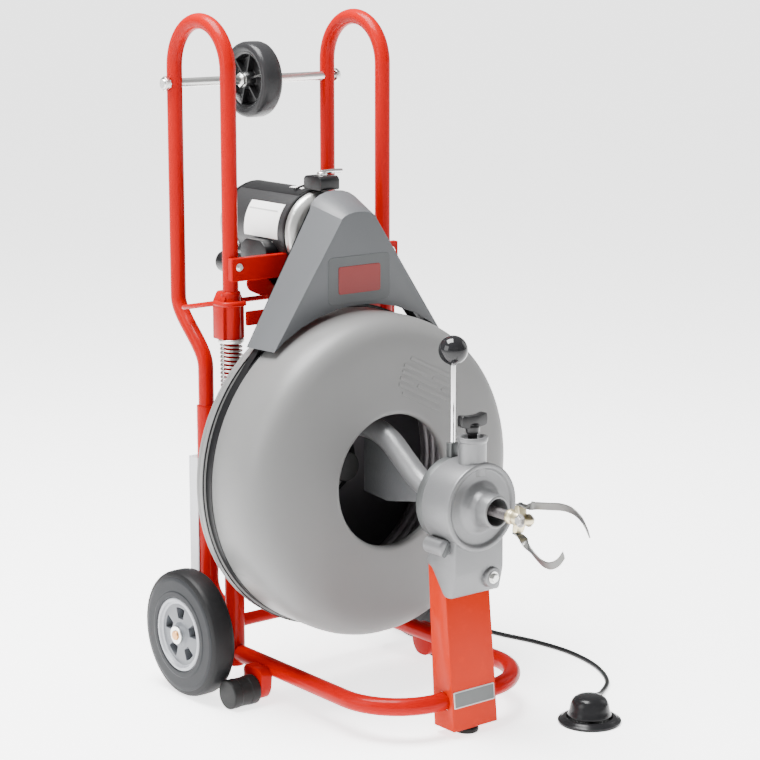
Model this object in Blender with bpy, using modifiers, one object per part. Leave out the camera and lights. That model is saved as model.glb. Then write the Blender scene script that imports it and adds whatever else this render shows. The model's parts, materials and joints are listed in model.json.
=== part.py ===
"""Drain snake machine: a drum of cable on a tube frame, with a power feed, motor, belt and foot switch.

Metres, +Z up. The cable leaves towards -Y and the drum turns about an axis along Y. The machine is
symmetric about X = 0. The origin is on the floor, below the middle of the machine.
"""

import math

import bmesh
import bpy
from mathutils import Matrix, Vector

# ---------------------------------------------------------------- driving dimensions
GAP = 0.0003                 # between pieces that rest on each other
HALF_TRACK = 0.155           # frame tubes to the middle of the machine

DRUM_Z = 0.364
DRUM_R = 0.262
DRUM_FRONT_Y = 0.0047
DRUM_SEAM_Y = 0.162
DRUM_REAR_Y = 0.192
DRUM_WALL = 0.0045
OPENING_R = 0.107
SHAFT_R = 0.012

BELT_Y = 0.142
BELT_HALF_W = 0.0062
BELT_THICK = 0.008
BELT_R = 0.262               # outside of the belt where it lies on the drum
PULLEY_R = 0.029             # outside of the belt where it lies on the pulley
MOTOR_Z = 0.742
MOTOR_R = 0.068
MOTOR_FRONT_Y, MOTOR_REAR_Y = 0.178, 0.400

MAST_Y, REAR_Y = 0.228, 0.302
MAST_R = 0.016
MAST_TOP_Z, REAR_TOP_Z = 0.478, 0.458
HANDLE_R = 0.0127
HANDLE_TOP_Z = 1.080
HANDLE_BEND_R = 0.0755
HANDLE_REAR_Y = MAST_Y + 2 * HANDLE_BEND_R
SOCKET_DEPTH, HANDLE_DEPTH = 0.085, 0.060
SOCKET_R = HANDLE_R + 0.0007

BASE_R, BASE_Z = 0.014, 0.056
BASE_FRONT_Y, BASE_BEND_R = -0.172, 0.104
REAR_FOOT_Y, REAR_FOOT_R, BRACKET_OUT_X = 0.133, 0.024, 0.187

AXLE_Y, AXLE_Z, AXLE_R = 0.2344, 0.1040, 0.0075
WHEEL_R, WHEEL_W, WHEEL_OUT_X = 0.1037, 0.047, 0.2634
RIM_R = 0.060

LEG_HALF_W, LEG_WALL = 0.044, 0.004
LEG_TOP_Z, LEG_BOTTOM_Z = 0.272, 0.012
LEG_FRONT_BOTTOM_Y, LEG_FRONT_TOP_Y = -0.1983, -0.1710
LEG_REAR_BOTTOM_Y, LEG_REAR_TOP_Y = -0.1510, -0.1340

FEED_R, FEED_FRONT_Y, FEED_REAR_Y = 0.069, -0.2086, -0.1460
NOSE_Y, NOSE_R, NOSE_BORE_R = -0.2435, 0.0265, 0.0205
BOSS_Y, BOSS_R, BOSS_TOP_Z = -0.184, 0.022, 0.471
RING_REAR_Y = -0.1300
CABLE_R = 0.008
BLADE_OUTWARD = Vector((math.cos(math.radians(83)), 0, math.sin(math.radians(83))))
ROLLER_R = 0.010
LEVER_Y, BALL_Z, BALL_R = -0.138, 0.5966, 0.0226

SLEEVE_TOP_Z, SLEEVE_BOTTOM_Z, SLEEVE_HALF = 0.657, 0.578, 0.0225
TRAY_TOP_Z, TRAY_H = 0.712, 0.037
GUARD_FRONT_Y, GUARD_REAR_Y = 0.093, 0.157
GUARD_ARC_R, GUARD_WALL = 0.2725, 0.003
LOAD_Z, LOAD_R, LOAD_HALF_W = 0.978, 0.063, 0.020

COARSE, MEDIUM, FINE, DRUM_STEPS = 16, 20, 28, 44   # steps round a turned piece

HOSE_R = 0.004
PEDAL_X, PEDAL_Y = 0.176, -0.268
COIL_X, COIL_Y, COIL_MID_R = 0.270, 0.425, 0.044

# ---------------------------------------------------------------- scene and materials
for old in list(bpy.data.objects):
    bpy.data.objects.remove(old, do_unlink=True)

MACHINE = bpy.data.collections.new("drain_snake_machine")
CUTTERS = bpy.data.collections.new("cutters")
for group in (MACHINE, CUTTERS):
    bpy.context.scene.collection.children.link(group)

FINISHES = {                 # colour, roughness, metallic
    "red_paint": ((0.66, 0.03, 0.015), 0.30, 0.0),
    "orange_paint": ((0.75, 0.08, 0.02), 0.32, 0.0),
    "drum_plastic": ((0.45, 0.45, 0.44), 0.45, 0.0),
    "guard_plastic": ((0.21, 0.22, 0.23), 0.45, 0.0),
    "cast_grey": ((0.36, 0.37, 0.38), 0.40, 0.3),
    "steel": ((0.60, 0.60, 0.60), 0.25, 1.0),
    "dark_steel": ((0.12, 0.12, 0.12), 0.35, 0.8),
    "motor_shell": ((0.05, 0.05, 0.05), 0.40, 0.2),
    "aluminium": ((0.65, 0.65, 0.64), 0.35, 1.0),
    "black_plastic": ((0.02, 0.02, 0.02), 0.25, 0.0),
    "rubber": ((0.03, 0.03, 0.03), 0.75, 0.0),
    "rim_plastic": ((0.27, 0.28, 0.30), 0.45, 0.0),
    "white_plastic": ((0.80, 0.80, 0.80), 0.45, 0.0),
    "brass": ((0.75, 0.65, 0.40), 0.35, 1.0),
}


def make_material(name, finish):
    colour, roughness, metallic = FINISHES[finish]
    material = bpy.data.materials.new(name)
    material.use_nodes = True
    shader = material.node_tree.nodes["Principled BSDF"]
    shader.inputs["Base Color"].default_value = (*colour, 1.0)
    shader.inputs["Roughness"].default_value = roughness
    shader.inputs["Metallic"].default_value = metallic
    return material


# ---------------------------------------------------------------- modelling helpers
def move_to(obj, collection):
    for owner in list(obj.users_collection):
        owner.objects.unlink(obj)
    collection.objects.link(obj)


def place(obj, name, finish, parent=None):
    """Names a finished piece, gives it a material of its own and puts it in the machine."""
    obj.name = name
    obj.data.materials.clear()
    obj.data.materials.append(make_material(name, finish))
    move_to(obj, MACHINE)
    if parent is not None:
        obj.parent = parent
        obj.matrix_parent_inverse = parent.matrix_world.inverted()
    return obj


def pivot(name, at):
    """An empty on a joint's axis, which the moving pieces have as their parent."""
    empty = bpy.data.objects.new(name, None)
    empty.location = at
    bpy.context.scene.collection.objects.link(empty)
    bpy.context.view_layer.update()
    return empty


def link_new(name, data):
    obj = bpy.data.objects.new(name, data)
    bpy.context.scene.collection.objects.link(obj)
    return obj


def block(name, low, high, bevel=0.0):
    """A box between two corners, with its edges cut back by a bevel."""
    low, high = Vector(low), Vector(high)
    bm = bmesh.new()
    bmesh.ops.create_cube(bm, size=1.0)
    bmesh.ops.scale(bm, vec=high - low, verts=bm.verts)
    mesh = bpy.data.meshes.new(name)
    bm.to_mesh(mesh)
    bm.free()
    obj = link_new(name, mesh)
    obj.location = (low + high) / 2
    if bevel:
        rounding = obj.modifiers.new("rounding", "BEVEL")
        rounding.width = bevel
        rounding.segments = 1
    return obj


def turned(name, profile, axis="Z", at=(0, 0, 0), steps=FINE):
    """Turns (radius, height) points about an axis, listed from the top down the outer side.

    A profile that starts off the axis is a closed loop, so the piece has a bore.
    """
    bm = bmesh.new()
    points = [bm.verts.new((radius, 0.0, height)) for radius, height in profile]
    for first, second in zip(points, points[1:]):
        bm.edges.new((first, second))
    if profile[0][0] > 0:
        bm.edges.new((points[-1], points[0]))
    mesh = bpy.data.meshes.new(name)
    bm.to_mesh(mesh)
    bm.free()
    obj = link_new(name, mesh)
    obj.location = at
    obj.rotation_euler = {"Z": (0, 0, 0), "X": (0, math.pi / 2, 0), "Y": (-math.pi / 2, 0, 0)}[axis]
    spin = obj.modifiers.new("turned", "SCREW")
    spin.steps = steps
    spin.render_steps = steps
    spin.use_merge_vertices = True
    spin.merge_threshold = 0.00005
    return obj


def cylinder(name, radius, low, high, axis="Z", at=(0, 0, 0), steps=COARSE):
    return turned(name, [(0, high), (radius, high), (radius, low), (0, low)], axis, at, steps)


def ring(name, outer, inner, low, high, axis="Z", at=(0, 0, 0), steps=FINE):
    return turned(name, [(inner, high), (outer, high), (outer, low), (inner, low)], axis, at, steps)


def rod(name, points, radius, sides=10):
    """A round bar along a path of points."""
    curve = bpy.data.curves.new(name, "CURVE")
    curve.dimensions = "3D"
    line = curve.splines.new("POLY")
    line.points.add(len(points) - 1)
    for knot, point in zip(line.points, points):
        knot.co = (*point, 1.0)
    curve.bevel_depth = radius
    curve.bevel_resolution = (sides - 4) // 2
    curve.use_fill_caps = True
    return link_new(name, curve)


def as_mesh(obj):
    """Makes a curve piece a welded mesh, so that it can be cut or joined."""
    bpy.context.view_layer.update()
    graph = bpy.context.evaluated_depsgraph_get()
    mesh = bpy.data.meshes.new_from_object(obj.evaluated_get(graph))
    bm = bmesh.new()
    bm.from_mesh(mesh)
    bmesh.ops.remove_doubles(bm, verts=bm.verts, dist=0.00002)
    bm.to_mesh(mesh)
    bm.free()
    made = link_new(obj.name, mesh)
    made.matrix_world = obj.matrix_world
    bpy.data.objects.remove(obj, do_unlink=True)
    return made


def plate(name, outline, thickness, across, up, at=(0, 0, 0)):
    """A flat piece: an outline in a plane's own two directions, with the plane through its middle."""
    curve = bpy.data.curves.new(name, "CURVE")
    curve.dimensions = "2D"
    curve.fill_mode = "BOTH"
    curve.extrude = thickness / 2
    line = curve.splines.new("POLY")
    line.points.add(len(outline) - 1)
    for knot, (first, second) in zip(line.points, outline):
        knot.co = (first, second, 0.0, 1.0)
    line.use_cyclic_u = True
    obj = link_new(name, curve)
    across, up = Vector(across).normalized(), Vector(up).normalized()
    frame = Matrix((across, up, across.cross(up))).transposed().to_4x4()
    obj.matrix_world = Matrix.Translation(at) @ frame
    return as_mesh(obj)


def side_plate(name, outline, low_x, high_x):
    """A plate drawn from the side: (y, z) points, thick along X."""
    return plate(name, outline, high_x - low_x, (0, 1, 0), (0, 0, 1), ((low_x + high_x) / 2, 0, 0))


def front_plate(name, outline, low_y, high_y):
    """A plate drawn from the front: (x, z) points, thick along Y."""
    return plate(name, outline, high_y - low_y, (1, 0, 0), (0, 0, 1), (0, (low_y + high_y) / 2, 0))


def boolean(obj, tool, operation, solver="EXACT"):
    move_to(tool, CUTTERS)
    tool.hide_render = True
    tool.display_type = "WIRE"
    step = obj.modifiers.new(operation.lower(), "BOOLEAN")
    step.operation = operation
    step.solver = solver
    step.object = tool


def cut(obj, *tools, solver="EXACT"):
    for tool in tools:
        boolean(obj, tool, "DIFFERENCE", solver)
    return obj


def join(obj, *tools):
    for tool in tools:
        boolean(obj, tool, "UNION")
    return obj


def arc(centre, radius, start, end, count):
    """Points of an arc in a plane, from one angle in degrees to another."""
    angles = [math.radians(start + (end - start) * i / count) for i in range(count + 1)]
    return [(centre[0] + radius * math.cos(a), centre[1] + radius * math.sin(a)) for a in angles]


def smooth_path(route, spacing):
    """Points at even steps along the smooth curve through a route's own points."""
    dense = []
    padded = [route[0], *route, route[-1]]
    for corners in zip(padded, padded[1:], padded[2:], padded[3:]):
        a, b, c, d = (Vector(corner) for corner in corners)
        for i in range(24):
            t = i / 24
            dense.append(b + 0.5 * ((c - a) * t + (2 * a - 5 * b + 4 * c - d) * t ** 2
                                    + (3 * b - 3 * c + d - a) * t ** 3))
    dense.append(Vector(route[-1]))
    picked = [dense[0]]
    run = 0.0
    for first, second in zip(dense, dense[1:]):
        run += (second - first).length
        if run >= spacing:
            picked.append(second)
            run = 0.0
    if (picked[-1] - dense[-1]).length < spacing / 2:
        picked.pop()
    picked.append(dense[-1])
    return picked


SIDES = ((-1, "left"), (1, "right"))


def across(side, inner, outer):
    """The low and high X of a span that is given from the middle outwards."""
    return sorted((side * inner, side * outer))


# ---------------------------------------------------------------- lower frame
def base_loop():
    """The U of tube on the floor, with the brackets that carry the rear feet."""
    x, end_y = HALF_TRACK, MAST_Y - MAST_R - GAP
    corner = arc((-x + BASE_BEND_R, BASE_FRONT_Y + BASE_BEND_R), BASE_BEND_R, 180, 270, 8)
    outline = [(-x, end_y), *corner, *[(-px, py) for px, py in reversed(corner)], (x, end_y)]
    loop = as_mesh(rod("base_tube", [(px, py, BASE_Z) for px, py in outline], BASE_R))
    for side, _ in SIDES:
        low, high = across(side, HALF_TRACK + 0.0105, BRACKET_OUT_X)
        join(loop, block("bracket", (low, REAR_FOOT_Y - 0.022, 0.006), (high, REAR_FOOT_Y + 0.026, 0.066), 0.003))
    place(loop, "base_tube", "red_paint")


def uprights():
    """The masts and rear tubes that the handle's legs slide into, and the white strips behind."""
    for side, word in SIDES:
        x = side * HALF_TRACK
        mast = cylinder("mast", MAST_R, 0.034, MAST_TOP_Z, at=(x, MAST_Y, 0))
        cut(mast,
            cylinder("socket", SOCKET_R, MAST_TOP_Z - SOCKET_DEPTH, MAST_TOP_Z + 0.02, at=(x, MAST_Y, 0)),
            cylinder("axle_hole", AXLE_R + GAP, -0.03, 0.03, "X", (x, AXLE_Y, AXLE_Z)))
        place(mast, f"mast_{word}", "red_paint")

        bend_r, low_z = 0.040, 0.165
        bend = arc((REAR_Y - bend_r, low_z), bend_r, 0, -70, 5)
        meet_y = MAST_Y + MAST_R + 0.004
        meet_z = bend[-1][1] - (bend[-1][0] - meet_y) * math.tan(math.radians(20))
        route = [(x, REAR_Y, REAR_TOP_Z)] + [(x, y, z) for y, z in bend] + [(x, meet_y, meet_z)]
        rear = as_mesh(rod("rear_tube", route, MAST_R))
        cut(rear,
            cylinder("socket", SOCKET_R, REAR_TOP_Z - SOCKET_DEPTH, REAR_TOP_Z + 0.02, at=(x, REAR_Y, 0)),
            cylinder("mast_room", MAST_R + GAP, 0.0, 0.3, at=(x, MAST_Y, 0), steps=COARSE))
        place(rear, f"rear_tube_{word}", "red_paint")

        section = [(0.0185, 0.002), (0.0185, 0.027), (-0.0185, 0.027), (-0.0185, 0.002),
                   *arc((0, 0), MAST_R + GAP, 173, 7, 12)]
        strip = plate("slide_rail", section, 0.200, (1, 0, 0), (0, 1, 0), (x, REAR_Y, 0.271))
        place(strip, f"slide_rail_{word}", "white_plastic")

        low, high = across(side, BRACKET_OUT_X + GAP, 0.238)
        foot = cylinder("rear_foot", REAR_FOOT_R, low, high, "X", (0, REAR_FOOT_Y, REAR_FOOT_R), MEDIUM)
        place(foot, f"rear_foot_{word}", "rubber")


def axle():
    at = (0, AXLE_Y, AXLE_Z)
    end = WHEEL_OUT_X + 0.007
    bar = cylinder("axle", AXLE_R, -end, end, "X", at)
    for side, _ in SIDES:
        low, high = across(side, WHEEL_OUT_X + 0.001, WHEEL_OUT_X + 0.004)
        join(bar, cylinder("cap", 0.0125, low, high, "X", at))
    place(bar, "axle", "steel")
    reach = HALF_TRACK - 0.008
    tie = ring("axle_tube", 0.0105, AXLE_R + GAP, -reach, reach, "X", at)
    for side, _ in SIDES:
        cut(tie, cylinder("mast_room", MAST_R + GAP, 0.0, 0.2, at=(side * HALF_TRACK, MAST_Y, 0)))
    place(tie, "axle_tube", "red_paint")


def drum_support():
    """The plate across the masts that carries the drum's fixed shaft."""
    reach, rear = HALF_TRACK + 0.010, MAST_Y - MAST_R - GAP
    at = (0, 0, DRUM_Z)
    support = block("drum_support", (-reach, rear - 0.006, DRUM_Z - 0.045), (reach, rear, DRUM_Z + 0.045), 0.002)
    join(support,
         cylinder("flange", 0.036, rear - 0.011, rear - 0.003, "Y", at),
         cylinder("shaft", SHAFT_R, 0.130, rear - 0.002, "Y", at))
    place(support, "drum_support", "red_paint")


def front_leg():
    """A folded channel, open at the back, that carries the feed."""
    outside = [(LEG_FRONT_BOTTOM_Y, LEG_BOTTOM_Z), (LEG_REAR_BOTTOM_Y, LEG_BOTTOM_Z),
               (LEG_REAR_TOP_Y, LEG_TOP_Z), (LEG_FRONT_TOP_Y, LEG_TOP_Z)]
    leg = side_plate("front_leg", outside, -LEG_HALF_W, LEG_HALF_W)
    hollow = [(LEG_FRONT_BOTTOM_Y + LEG_WALL, LEG_BOTTOM_Z + LEG_WALL), (0.0, LEG_BOTTOM_Z + LEG_WALL),
              (0.0, LEG_TOP_Z + 0.03), (LEG_FRONT_TOP_Y + LEG_WALL + 0.003, LEG_TOP_Z + 0.03)]
    cut(leg,
        side_plate("hollow", hollow, LEG_WALL - LEG_HALF_W, LEG_HALF_W - LEG_WALL),
        cylinder("tube_hole", BASE_R + GAP, -0.06, 0.06, "X", (0, BASE_FRONT_Y, BASE_Z), MEDIUM))
    place(leg, "front_leg", "orange_paint")
    profile = [(0, LEG_BOTTOM_Z - GAP), (0.015, LEG_BOTTOM_Z - GAP), (0.019, 0.004), (0.018, 0), (0, 0)]
    place(turned("front_foot", profile, at=(0, -0.176, 0), steps=COARSE), "front_foot", "rubber")


# ---------------------------------------------------------------- wheels
def road_wheels():
    for side, word in SIDES:
        at = (side * (WHEEL_OUT_X - WHEEL_W / 2), AXLE_Y, AXLE_Z)
        hub = pivot(f"wheel_{word}_axis", at)
        half = WHEEL_W / 2
        shoulder = [(RIM_R + GAP, half), (WHEEL_R - 0.016, half), (WHEEL_R - 0.004, half - 0.007),
                    (WHEEL_R, half - 0.016)]
        tyre = turned("tyre", shoulder + [(r, -h) for r, h in reversed(shoulder)], "X", at, FINE)
        place(tyre, f"tyre_{word}", "rubber", hub)
        face = [(AXLE_R + GAP, half), (0.016, half), (0.019, half - 0.008), (0.046, half - 0.010),
                (0.051, half - 0.001), (RIM_R, half - 0.001)]
        rim = turned("rim", face + [(r, -h) for r, h in reversed(face)], "X", at, FINE)
        for y, z in arc((at[1], at[2]), 0.033, 90, 378, 4):
            cut(rim, cylinder("slot", 0.0105, -0.04, 0.04, "X", (at[0], y, z), 8))
        place(rim, f"rim_{word}", "rim_plastic", hub)


# ---------------------------------------------------------------- drum and cable
def drum_shells(axis):
    """Both shells, turned about the drum axis: heights are y values, from the rear forwards."""
    at, front, seam = (0, 0, DRUM_Z), DRUM_FRONT_Y, DRUM_SEAM_Y
    groove_r = BELT_R - BELT_THICK - 0.0015
    lip_rear, lip_front = BELT_Y + BELT_HALF_W + 0.001, BELT_Y - BELT_HALF_W - 0.001
    outside = [(0.266, seam), (0.266, lip_rear), (groove_r, lip_rear - 0.0004), (groove_r, lip_front + 0.0004),
               (DRUM_R, lip_front), (DRUM_R, front + 0.050), (0.255, front + 0.028), (0.238, front + 0.011),
               (0.205, front + 0.003), (OPENING_R + 0.006, front), (OPENING_R, front + 0.004),
               (OPENING_R, front + 0.012)]
    inside = [(OPENING_R + 0.005, front + 0.012), (OPENING_R + 0.007, front + 0.005), (0.204, front + 0.008),
              (0.235, front + 0.016), (0.250, front + 0.031), (DRUM_R - DRUM_WALL, front + 0.051),
              (DRUM_R - DRUM_WALL, lip_front - 0.012), (groove_r - DRUM_WALL, lip_front - 0.004),
              (groove_r - DRUM_WALL, seam)]
    place(turned("front_shell", outside + inside, "Y", at, DRUM_STEPS), "drum_front_shell", "drum_plastic", axis)

    rear = DRUM_REAR_Y
    lip_r = groove_r - DRUM_WALL - 0.0005
    back = [(0.030, rear), (0.150, rear), (0.238, rear - 0.006), (0.258, rear - 0.014), (0.266, rear - 0.022),
            (0.266, seam + GAP), (lip_r, seam + GAP), (lip_r, seam - 0.006), (lip_r - 0.005, seam - 0.006),
            (lip_r - 0.007, rear - 0.020), (0.230, rear - 0.011), (0.150, rear - 0.0045), (0.030, rear - 0.0045)]
    place(turned("rear_shell", back, "Y", at, DRUM_STEPS), "drum_rear_shell", "drum_plastic", axis)

    bore, rear_face = SHAFT_R + 0.0005, rear + 0.005
    hub = [(bore, rear_face), (0.0295, rear_face), (0.0295, rear - 0.0048), (0.060, rear - 0.0048),
           (0.060, rear - 0.0105), (0.027, rear - 0.014), (0.024, 0.132), (bore, 0.132)]
    place(turned("drum_hub", hub, "Y", at, MEDIUM), "drum_hub", "aluminium", axis)


def cable_parts(axis):
    at = (0, 0, DRUM_Z)
    heap = [(0.212, 0.144), (0.218, 0.150), (0.236, 0.150), (0.242, 0.144), (0.242, 0.062), (0.236, 0.056),
            (0.218, 0.056), (0.212, 0.062)]
    place(turned("cable_coil", heap, "Y", at, FINE), "cable_coil", "dark_steel", axis)

    route = [(0, -0.112, 0.364), (0, -0.088, 0.366), (-0.002, -0.060, 0.380), (-0.004, -0.030, 0.403),
             (-0.006, 0.005, 0.430), (-0.009, 0.036, 0.443), (-0.013, 0.075, 0.447)]
    guide = as_mesh(rod("guide_tube", smooth_path(route, 0.022), 0.0185))
    mouth = [(0, -0.104), (0.0185, -0.104), (0.024, -0.112), (0.030, -0.126), (0.030, FEED_REAR_Y + 0.001),
             (0, FEED_REAR_Y + 0.001)]
    web = plate("web", [(-0.092, 0.352), (-0.084, 0.366), (-0.010, 0.412), (0.060, 0.436), (0.060, 0.340), (0, 0.335)],
                0.004, (0, 1, 0), (0, 0, 1), (-0.015, 0, 0))
    join(guide, turned("mouth", mouth, "Y", at, MEDIUM), web)
    cut(guide, cylinder("bore", CABLE_R + 0.0015, -0.2, -0.075, "Y", at))
    place(guide, "guide_tube", "cast_grey", axis)

    lead = cylinder("cable_lead", CABLE_R, -0.2700, -0.078, "Y", at, COARSE)
    place(lead, "cable_lead", "dark_steel", axis)
    tip = [(0, -0.2703), (0.0105, -0.2703), (0.0115, -0.2735), (0.0115, -0.2960), (0, -0.2960)]
    coupling = turned("coupling", tip, "Y", at, COARSE)
    yoke = [(-0.0204, -0.2870), (0.0204, -0.2870), (0.0204, -0.2955), (-0.0204, -0.2955)]
    join(coupling, plate("yoke", yoke, 0.014, BLADE_OUTWARD, (0, 1, 0), at))
    join(coupling, plate("tang", [(-0.0036, -0.290), (0.0036, -0.290), (0.0036, -0.314), (-0.0036, -0.314)],
                         0.016, BLADE_OUTWARD, (0, 1, 0), at))
    place(coupling, "cable_coupling", "brass", axis)


def cutter_blades(axis):
    """Two spring-steel hooks, bent to a C, in one plane through the cable's axis."""
    upper = [(0.0209, -0.2870), (0.0212, -0.3000), (0.0250, -0.3200), (0.0300, -0.3500), (0.0345, -0.3780),
             (0.0335, -0.4020), (0.0240, -0.4230), (0.0070, -0.4390)]
    lower = [(0.0209, -0.2870), (0.0240, -0.3000), (0.0350, -0.3160), (0.0460, -0.3350), (0.0530, -0.3520),
             (0.0530, -0.3680), (0.0445, -0.3830), (0.0310, -0.3930)]
    for sign, word, inner in ((1, "upper", upper), (-1, "lower", lower)):
        outline = [(u, y) for u, y in inner]
        thick = 0.0018
        outer = []
        for i, (u, y) in enumerate(inner):
            before, after = inner[max(i - 1, 0)], inner[min(i + 1, len(inner) - 1)]
            along = Vector((after[0] - before[0], after[1] - before[1])).normalized()
            outer.append((u - along.y * thick, y + along.x * thick))
        blade = plate("blade", outline + outer[::-1], 0.015, sign * BLADE_OUTWARD, (0, 1, 0), (0, 0, DRUM_Z))
        place(blade, f"cutter_blade_{word}", "dark_steel", axis)


# ---------------------------------------------------------------- feed
def feed():
    at = (0, 0, DRUM_Z)
    body = [(0.052, FEED_REAR_Y), (0.066, FEED_REAR_Y), (FEED_R, FEED_REAR_Y - 0.003), (FEED_R, FEED_FRONT_Y + 0.004),
            (0.066, FEED_FRONT_Y), (0.058, FEED_FRONT_Y), (0.056, FEED_FRONT_Y + 0.003),
            (0.034, FEED_FRONT_Y + 0.003), (NOSE_R, FEED_FRONT_Y - 0.006), (NOSE_R - 0.0015, NOSE_Y),
            (NOSE_BORE_R, NOSE_Y), (NOSE_BORE_R, FEED_FRONT_Y + 0.010), (0.052, FEED_FRONT_Y + 0.010)]
    housing = turned("housing", body, "Y", at, FINE)
    saddle = side_plate("saddle", [(-0.203, 0.335), (-0.2035, 0.262), (-0.1945, 0.2245), (-0.176, 0.2245),
                                   (-0.1460, 0.2660), (-0.1330, 0.2700), (-0.1375, 0.2840),
                                   (-0.1465, 0.2900), (-0.1465, 0.3350)], -0.0485, 0.0485)
    throat = cylinder("throat", 0.052, FEED_FRONT_Y + 0.010, FEED_REAR_Y + 0.05, "Y", at, FINE)
    cut(saddle, throat)
    boss = cylinder("boss", BOSS_R, DRUM_Z + 0.056, BOSS_TOP_Z, at=(0, BOSS_Y, 0))
    ear = cylinder("ear", 0.013, -0.192, -0.150, "Y", (-0.058, 0, 0.304), 16)
    join(housing, saddle, boss, ear)
    leg_room = [(LEG_FRONT_BOTTOM_Y - GAP, LEG_BOTTOM_Z), (0.0, LEG_BOTTOM_Z), (0.0, LEG_TOP_Z + GAP),
                (LEG_FRONT_TOP_Y - GAP, LEG_TOP_Z + GAP)]
    cut(housing,
        side_plate("leg_room", leg_room, -LEG_HALF_W - GAP, LEG_HALF_W + GAP),
        cylinder("screw_bore", 0.0088, DRUM_Z + 0.03, BOSS_TOP_Z + 0.02, at=(0, BOSS_Y, 0)))
    place(housing, "feed_housing", "cast_grey")

    for word, angle in (("top", 90), ("left", 210), ("right", 330)):
        reach = CABLE_R + ROLLER_R + 0.001
        (x, z), = arc((0, DRUM_Z), reach, angle, angle, 1)[:1]
        axis = pivot(f"roller_{word}_axis", (x, 0, z))
        roller = cylinder("roller", ROLLER_R, -0.192, -0.168, "Y", (x, 0, z), 16)
        place(roller, f"feed_roller_{word}", "steel", axis)

    lever_axis = pivot("lever_axis", at)
    collar = ring("lever_ring", 0.067, 0.0312, FEED_REAR_Y + GAP, RING_REAR_Y, "Y", at, FINE)
    join(collar, block("link", (-0.0075, LEVER_Y - 0.006, DRUM_Z + 0.060), (0.0075, LEVER_Y + 0.006, 0.452), 0.002))
    place(collar, "lever_ring", "dark_steel", lever_axis)
    stem = cylinder("lever_rod", 0.004, 0.452 + GAP, BALL_Z - BALL_R + 0.001, at=(0, LEVER_Y, 0), steps=12)
    place(stem, "lever_rod", "steel", lever_axis)
    half = [(BALL_R * math.cos(a), BALL_Z + BALL_R * math.sin(a))
            for a in [math.radians(90 - 20 * i) for i in range(1, 8)]]
    flat_z = BALL_Z - BALL_R + 0.001 + GAP
    ball = turned("lever_ball", [(0, BALL_Z + BALL_R), *half, (0.008, flat_z), (0, flat_z)],
                  at=(0, LEVER_Y, 0), steps=COARSE)
    place(ball, "lever_ball", "black_plastic", lever_axis)

    screw_axis = pivot("screw_axis", (0, BOSS_Y, 0.49))
    screw = turned("pressure_knob", [(0, 0.487), (0.011, 0.487), (0.011, 0.4745), (0.0078, 0.4745),
                                     (0.0078, 0.428), (0, 0.428)], at=(0, BOSS_Y, 0), steps=COARSE)
    join(screw, block("wings", (-0.021, BOSS_Y - 0.005, 0.480), (0.021, BOSS_Y + 0.005, 0.506), 0.003))
    place(screw, "pressure_knob", "black_plastic", screw_axis)


# ---------------------------------------------------------------- handle frame on springs
def handle_path(x):
    """One leg, the bend over the top and the rear leg with its S-bend, from foot to foot."""
    top = arc((MAST_Y + HANDLE_BEND_R, HANDLE_TOP_Z - HANDLE_BEND_R), HANDLE_BEND_R, 180, 0, 10)
    start, end = (HANDLE_REAR_Y, 0.630), (REAR_Y, 0.522)
    bend = []
    for i in range(7):
        t = i / 6
        ease = t * t * (3 - 2 * t)
        bend.append((start[0] + (end[0] - start[0]) * ease, start[1] + (end[1] - start[1]) * t))
    path = [(MAST_Y, MAST_TOP_Z - HANDLE_DEPTH), *top, *bend, (REAR_Y, REAR_TOP_Z - HANDLE_DEPTH)]
    return [(x, y, z) for y, z in path]


def handles(carriage):
    for side, word in SIDES:
        x = side * HALF_TRACK
        tube = as_mesh(rod("handle", handle_path(x), HANDLE_R))
        cut(tube, cylinder("rod_hole", 0.0083, -0.03, 0.03, "X", (x, HANDLE_REAR_Y, LOAD_Z), 12))
        place(tube, f"handle_{word}", "red_paint", carriage)
        low, high = MAST_TOP_Z + GAP, SLEEVE_BOTTOM_Z - GAP
        spring = ring("spring", 0.0185, HANDLE_R + 0.0010, low, high, at=(x, MAST_Y, 0), steps=COARSE)
        place(spring, f"spring_{word}", "steel")

    plate_y = MAST_Y - 0.016
    bridge = block("bridge", (-HALF_TRACK, plate_y - 0.004, 0.600), (HALF_TRACK, plate_y + 0.004, 0.624), 0.001)
    for side, _ in SIDES:
        x = side * HALF_TRACK
        low = (x - SLEEVE_HALF, MAST_Y - SLEEVE_HALF, SLEEVE_BOTTOM_Z)
        high = (x + SLEEVE_HALF, MAST_Y + SLEEVE_HALF, SLEEVE_TOP_Z)
        join(bridge, block("sleeve", low, high, 0.005))
    for side, _ in SIDES:
        cut(bridge, cylinder("bore", HANDLE_R + GAP, 0.5, 0.7, at=(side * HALF_TRACK, MAST_Y, 0), steps=FINE))
    place(bridge, "sleeve_bridge", "red_paint", carriage)

    end = HALF_TRACK + 0.024
    bar = cylinder("load_axle", 0.0078, -end, end, "X", (0, HANDLE_REAR_Y, LOAD_Z), 12)
    for side, _ in SIDES:
        for inner, outer in ((HALF_TRACK + 0.0132, HALF_TRACK + 0.0210), (LOAD_HALF_W + 0.001, LOAD_HALF_W + 0.007)):
            low, high = across(side, inner, outer)
            join(bar, cylinder("nut", 0.012, low, high, "X", (0, HANDLE_REAR_Y, LOAD_Z), 6))
    place(bar, "load_axle", "steel", carriage)


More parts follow.
